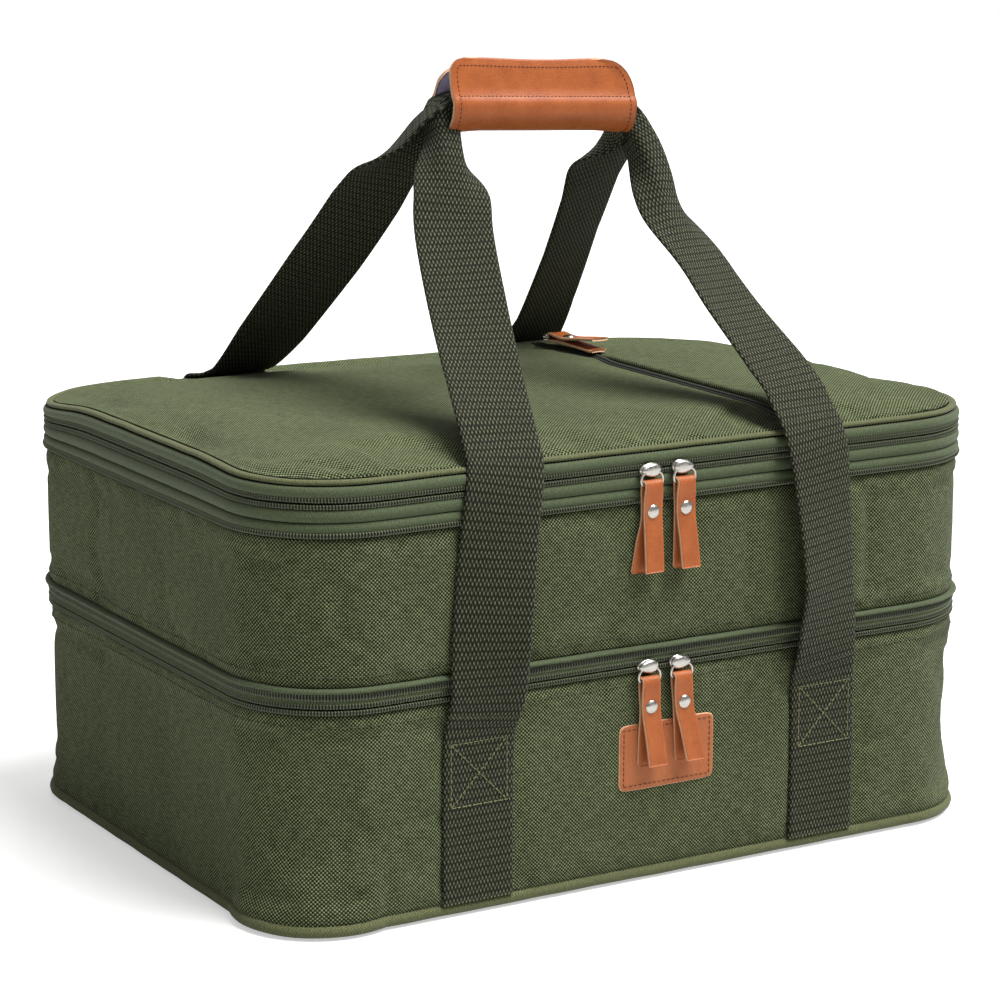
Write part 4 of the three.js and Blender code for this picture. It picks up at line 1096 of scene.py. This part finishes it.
def wrapLine(flap):
    # from the bottom of the turn, up one side of the tube, in to the seam and up the flap
    bend = np.linspace(0, np.pi / 2, 9)
    heights = (376.4, 378.6, wrap["seam"], wrap["seam"] + 4.4, flap["top"] - 4.6, flap["top"])
    y = wrap["y"] + flap["side"] * np.concatenate([wrap["reach"] * np.sin(bend), flap["out"]])
    z = np.concatenate([wrap["turn"] - wrap["reach"] * np.cos(bend), heights])
    return curve(np.stack([y, z], 1), 44)


def wrapHalf(name, flap):
    line, side = wrapLine(flap), flap["side"]
    run = runOf(line)[:, None]
    left = run[-1] - run  # how far below the top edge
    share = np.linspace(-1, 1, 90)[None]
    near = [np.clip(corner - left, 0, corner) for corner in wrap["corner"]]
    ends = [wrap["half"] - r + np.sqrt(np.maximum(r ** 2 - n ** 2, 0)) for r, n in zip(wrap["corner"], near)]
    x = share * np.where(share < 0, *ends)
    crown = np.cos(share * np.pi / 2)
    belly = wrap["belly"] * np.sin(np.pi * np.clip(run / 27, 0, 1)) * crown
    flare = wrap["flare"] * smooth(0.8, 1.0, np.abs(share)) * smooth(8, 30, run)
    droop = wrap["sag"] * smooth(18, 0, left) * crown ** 2
    droop = droop + wrap["endSag"] * smooth(0.6, 1.0, np.abs(share)) * smooth(18, 6, run)
    y = line[:, :1] + side * (belly + flare) + 0.25 * np.sin(x / 9 + side)
    middle = np.stack([x, y, line[:, 1:] - droop - handles["tilt"] * x], -1)
    faces = [leather, felt] if side < 0 else [felt, leather]
    return shell(name, middle, wrap["thickness"], [*faces, leatherEdge]), middle, run[-1, 0]


def sewnRows(middle, side):
    # a line of stitches set in from the two ends and the top edge, and one along the foot of the flap
    normal = gridNormals(middle) * -side
    face = middle + normal * wrap["thickness"] / 2
    rows, cols = middle.shape[:2]
    a, b, top = 3, cols - 4, rows - 5
    seam = int(np.argmin(np.abs(middle[:, cols // 2, 2] - wrap["seam"])))
    up, over = slice(top + 1), slice(a, b + 1)
    places = (up, a), (top, over), (slice(top, None, -1), b), (seam, over)
    return [(face[place], normal[place]) for place in places]


wrapFront, frontMiddle, frontCut = wrapHalf("wrapFront", wrap["front"])
wrapBack, backMiddle, backCut = wrapHalf("wrapBack", wrap["back"])
frontSewing = stitches("frontSewing", sewnRows(frontMiddle, -1.0), brownThread, **wrapThread)
backSewing = stitches("backSewing", sewnRows(backMiddle, 1.0), brownThread, **wrapThread)
for flaps, bodies, start, end in (
    ((wrapFront, frontSewing), ("front_handle", "wrap_turn"), 0.3745, 0.3665),
    ((wrapBack, backSewing), ("wrap_turn", "wrap_back"), 0.3665, 0.3745),
):
    for obj in flaps:
        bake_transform(obj)
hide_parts("wrap_front_flap", "wrap_fold")
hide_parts("wrap_back_flap")


def closureStrip(name, middle, side, bodyName, node):
    # a strip of hook or loop tape on the lining, just under the top edge
    place = slice(-16, -6), slice(9, -9)
    strip = middle[place] + side * gridNormals(middle)[place] * (wrap["thickness"] / 2 + 0.55)
    done(shell(name, strip, 1.0, [hookTape]), "hook_tape", bodyName, node)


closureStrip("hookStrip", frontMiddle, -1.0, "front_handle", "hook_strip")
closureStrip("loopStrip", backMiddle, 1.0, "wrap_back", "loop_strip")
print("grip wrap made")

# Zip sliders with a domed cap, a D ring, a folded leather pull and a domed rivet; locally x right, y in, z up.
# A slider's rings are (scale of its plan, distance out), a rivet's profile (radius, distance in).
pull = {
    "lift": 3.4, "ringWire": 0.7, "ringHalf": 6.2, "ringBar": 6.8, "tabWidth": 10.4, "tabLength": 44.0,
    "leather": 1.5, "rivetDrop": 13.2, "eye": 1.7, "tabCorner": 1.2, "gap": 0.12, "sliderHalf": (5.9, 3.5),
    "sliderRings": (
        (0, 0.3), (0.7, 0.3), (0.96, 0.3), (1, 0.6), (1, 1.2), (0.9, 1.7), (0.82, 2.0), (0.9, 2.3), (0.95, 2.7),
        (0.93, 3.2), (0.84, 3.7), (0.66, 4.1), (0.36, 4.35), (0, 4.4)),
    "rivet": (
        (0, -3.02), (1.3, -2.94), (2.4, -2.67), (3.15, -2.22), (3.55, -1.82), (3.5, -1.57), (1.4, -1.52),
        (1.3, 1.52), (3.0, 1.57), (3.1, 1.92), (2.6, 2.22), (0, 2.27)),
}
upright = np.eye(3)
onLid = np.array([[1, 0, 0], [0, 0, 1], [0, -1, 0]], float)
facingBack = np.diag([-1.0, -1.0, 1.0])


def placed(points, at, turn):
    # local places turned and moved on to the object
    return points @ turn.T + np.asarray(at, float)


def sliderMesh(name, at, turn, nose, lengthwise=False):
    # an egg-shaped body with a waist and a domed cap over it: rings of one plan drawn in and out as they rise
    angle = np.linspace(0, 2 * np.pi, 48, endpoint=False)
    long, wide = pull["sliderHalf"]
    x, z = long * np.cos(angle) * nose, wide * (1 + 0.2 * np.cos(angle)) * np.sin(angle)
    x, z = (z, -x) if lengthwise else (x, z)
    scale, out = np.array(pull["sliderRings"]).T[..., None]
    return polePiece(name, placed(np.stack([x * scale, -out + 0 * x, z * scale], -1), at, turn), [nickel])


def ringMesh(name, at, turn):
    # a D: a bow over a straight bar, in round wire
    half, bar = pull["ringHalf"], pull["ringBar"]
    bend = np.linspace(0, np.pi, 9)
    bow = np.stack([half * np.cos(bend), -bar * 0.6 + bar * 0.6 * np.sin(bend)], 1)
    corner = np.array([(-half, 1.6 - bar), (0.35 - half, 0.35 - bar), (1.6 - half, -bar)])
    line = curve(np.vstack([bow, corner, (0, -bar), corner[::-1] * (-1, 1)]), 64, closed=True)
    path = np.stack([line[:, 0], 0 * line[:, 0] - pull["lift"], line[:, 1]], 1)
    return tube(name, placed(path, at, turn), pull["ringWire"], nickel, 10, turn @ np.array([0, 1.0, 0]))


def tabMesh(name, at, turn, splay, fan):
    # a strip folded over the bar: down behind, round it and down in front, the leaves parting below the rivet
    bar = -pull["ringBar"]
    end, rivet, eye, corner = bar - pull["tabLength"], bar - pull["rivetDrop"], pull["eye"], pull["tabCorner"]
    near = pull["leather"] / 2 + pull["gap"]
    bend = np.linspace(0, np.pi, 9)
    loop = np.stack([eye * np.cos(bend), bar + eye * np.sin(bend)], 1)
    front, back = splay
    line = curve(np.vstack([
        (near + back, end), (near + back * 0.62, end + 12), (near + back * 0.15, rivet - 6), (near, rivet),
        (near + 0.25, rivet + 6), (eye * 0.97, bar - 2.4), loop, (-eye * 0.97, bar - 2.4),
        (-near - 0.25, rivet + 6), (-near, rivet), (-near - front * 0.15, rivet - 6),
        (-near - front * 0.62, end + 12.5), (-near - front, end + 0.6),
    ]), 84)
    across = np.linspace(-1, 1, 11)[:, None]
    y, z = line.T
    missing = np.clip(corner - np.abs(z - end), 0, corner)
    cut = corner - np.sqrt(np.maximum(corner ** 2 - missing ** 2, 0))
    half = pull["tabWidth"] / 2 - cut - 0.35 * smooth(6, 0, np.abs(z - bar))
    below = np.maximum(rivet - z, 0)
    sideways = fan[2] * (bar - z) + np.where(y < 0, fan[0], fan[1]) * below * smooth(0, 14, below)
    curl = 0.3 * across ** 2 * np.sign(y)
    points = np.stack([across * half + sideways, y - pull["lift"] + curl, z + 0 * across], -1)
    return shell(name, placed(points, at, turn), pull["leather"], [leather, leather, leatherEdge])


def rivetMesh(name, at, turn, lean):
    # a domed cap in front and a flat set head behind, on one shank, turned about y
    angle = np.linspace(0, 2 * np.pi, 28, endpoint=False)
    radius, depth = np.array(pull["rivet"]).T[..., None]
    x = radius * np.cos(angle) + lean * pull["rivetDrop"]
    z = radius * np.sin(angle) - pull["ringBar"] - pull["rivetDrop"]
    return polePiece(name, placed(np.stack([x, depth - pull["lift"] + 0 * x, z], -1), at, turn), [nickel])


# Splay is how far front and back leaf stand off; fan leans the front leaf, the back leaf and the whole pull.
# The pocket's slider clears its zip all along its run.
pocketTop = float(pocketZ[(pocketY > -80) & (pocketY < 100)].max())
pocketAt = (87.0, 90.0, min(pocketTop + 1.6, 231.0))
pullSets = {
    "lid_left": {"at": (-9.5, -157.4, 209.5), "nose": 1.0, "splay": (2.4, 1.2), "fan": (0.0, -0.16, 0.0)},
    "lid_right": {"at": (9.5, -157.4, 209.5), "nose": -1.0, "splay": (2.0, 1.2), "fan": (0.06, 0.0, 0.02)},
    "lower_left": {"at": (-9.5, -157.4, 111.0), "nose": 1.0, "splay": (2.4, 1.0), "fan": (0.06, -0.05, 0.04)},
    "lower_right": {"at": (9.5, -157.4, 111.0), "nose": -1.0, "splay": (2.9, 0.9), "fan": (0.1, 0.0, 0.08)},
    "pocket": {"at": pocketAt, "nose": 1.0, "splay": (3.4, 0.8), "fan": (0.05, 0.0, 0.0)},
}
for key, made in pullSets.items():
    name = key.replace("_l", "L").replace("_r", "R")
    flatOn = key == "pocket"
    where = made["at"], onLid if flatOn else upright
    done(sliderMesh(name + "Slider", *where, made["nose"], flatOn), "nickel", f"{key}_slide", f"{key}_slider")
    done(ringMesh(name + "Ring", *where), "nickel", f"{key}_pull", f"{key}_ring")
    done(tabMesh(name + "Tab", *where, made["splay"], made["fan"]), "leather", f"{key}_pull", f"{key}_tab")
    done(rivetMesh(name + "Rivet", *where, made["fan"][2]), "nickel", f"{key}_pull", f"{key}_rivet")
expansionSlider = sliderMesh("expansionSlider", (60.0, 158.2, 194.1), facingBack, 1.0)
done(expansionSlider, "nickel", "expansion_slide", "expansion_slider")
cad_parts["expansion_pull"].data.materials.clear()
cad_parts["expansion_pull"].data.materials.append(nickel)
print("pulls made")

# Floor, light and the photograph's camera; the camera sees the floor and the sky paler than they light the bag
studio = {
    "world": 0.27, "sun": 4.75, "sunFrom": (0.35, -0.355, 1.0), "sunSpread": 0.6, "top": 6.0, "exposure": 0.0,
    "floorGlow": 0.5, "floorHalf": 4000, "floorDrop": 0.2,
}
white = (1, 1, 1, 1)
floorMaterial = grained("paleFloor", "#cfcfcd", "#d6d6d4", 40.0, 0.01, 0.95)
floorTree = floorMaterial.node_tree
floorShader = next(node for node in floorTree.nodes if node.type == "BSDF_PRINCIPLED")
floorShader.inputs["Emission Color"].default_value = white
seen = addNode(floorTree, "LightPath").outputs["Is Camera Ray"]
glow = maths(floorTree, "MULTIPLY", seen, studio["floorGlow"])
floorTree.links.new(glow, floorShader.inputs["Emission Strength"])
edge = np.linspace(-studio["floorHalf"], studio["floorHalf"], 9)
floorX, floorY = np.meshgrid(edge, edge)
floorPoints = np.stack([floorX, floorY, 0 * floorX - studio["floorDrop"]], -1)
floor = gridPiece("floor", floorPoints, floorMaterial, turn=False)
if floor.data.polygons[0].normal.z < 0:
    floor.data.flip_normals()
world = bpy.data.worlds.new("studio")
scene.world = world
world.use_nodes = True
sky = world.node_tree
shown = ranged(sky, addNode(sky, "LightPath").outputs["Is Camera Ray"], 0.0, 1.0, studio["world"], 1.0)
sky.links.new(shown, sky.nodes["Background"].inputs[1])
sky.nodes["Background"].inputs[0].default_value = white


def setUp(name, data, right, up, back, place):
    # an object in the scene with its axes and place given
    obj = bpy.data.objects.new(name, data)
    scene.collection.objects.link(obj)
    obj.matrix_world = Matrix([[right[k], up[k], back[k], place[k]] for k in range(3)] + [[0, 0, 0, 1]])
    return obj


def lamp(name, kind, place, target, **values):
    # a light at a place, facing a target
    data = bpy.data.lights.new(name, kind)
    for key, value in values.items():
        setattr(data, key, value)
    back = unit(np.array(place, float) - np.array(target, float))
    right = unit(np.cross([0, 0, 1], back))
    setUp(name, data, right, np.cross(back, right), back, place)


lamp("keySun", "SUN", studio["sunFrom"], (0, 0, 0), energy=studio["sun"], angle=studio["sunSpread"])
lamp("topBox", "AREA", (0.2, 0.3, 1.4), (0, 0.05, 0.2), energy=studio["top"], shape="RECTANGLE", size=1.0,
     size_y=0.8)

camera = {
    "yaw": 0.53782, "pitch": 0.21444, "roll": 0.0027, "place": (-0.844438, -1.416798, 0.522801),
    "lens": 114.357,
}
lensData = bpy.data.cameras.new("photoCamera")
lensData.lens, lensData.sensor_width, lensData.sensor_fit = camera["lens"], 36.0, "HORIZONTAL"
lensData.clip_start, lensData.clip_end = 0.05, 50.0
(sy, cy), (sp, cp), (sr, cr) = ((np.sin(camera[key]), np.cos(camera[key])) for key in ("yaw", "pitch", "roll"))
ahead, right = np.array([sy * cp, cy * cp, -sp]), np.array([cy, -sy, 0])
up = np.cross(right, ahead)
right, up = cr * right + sr * up, cr * up - sr * right
scene.camera = setUp("photoCamera", lensData, right, up, -ahead, camera["place"])
scene.view_settings.view_transform = "Standard"
scene.view_settings.look = "None"
scene.view_settings.exposure = studio["exposure"]
print("light and camera set")
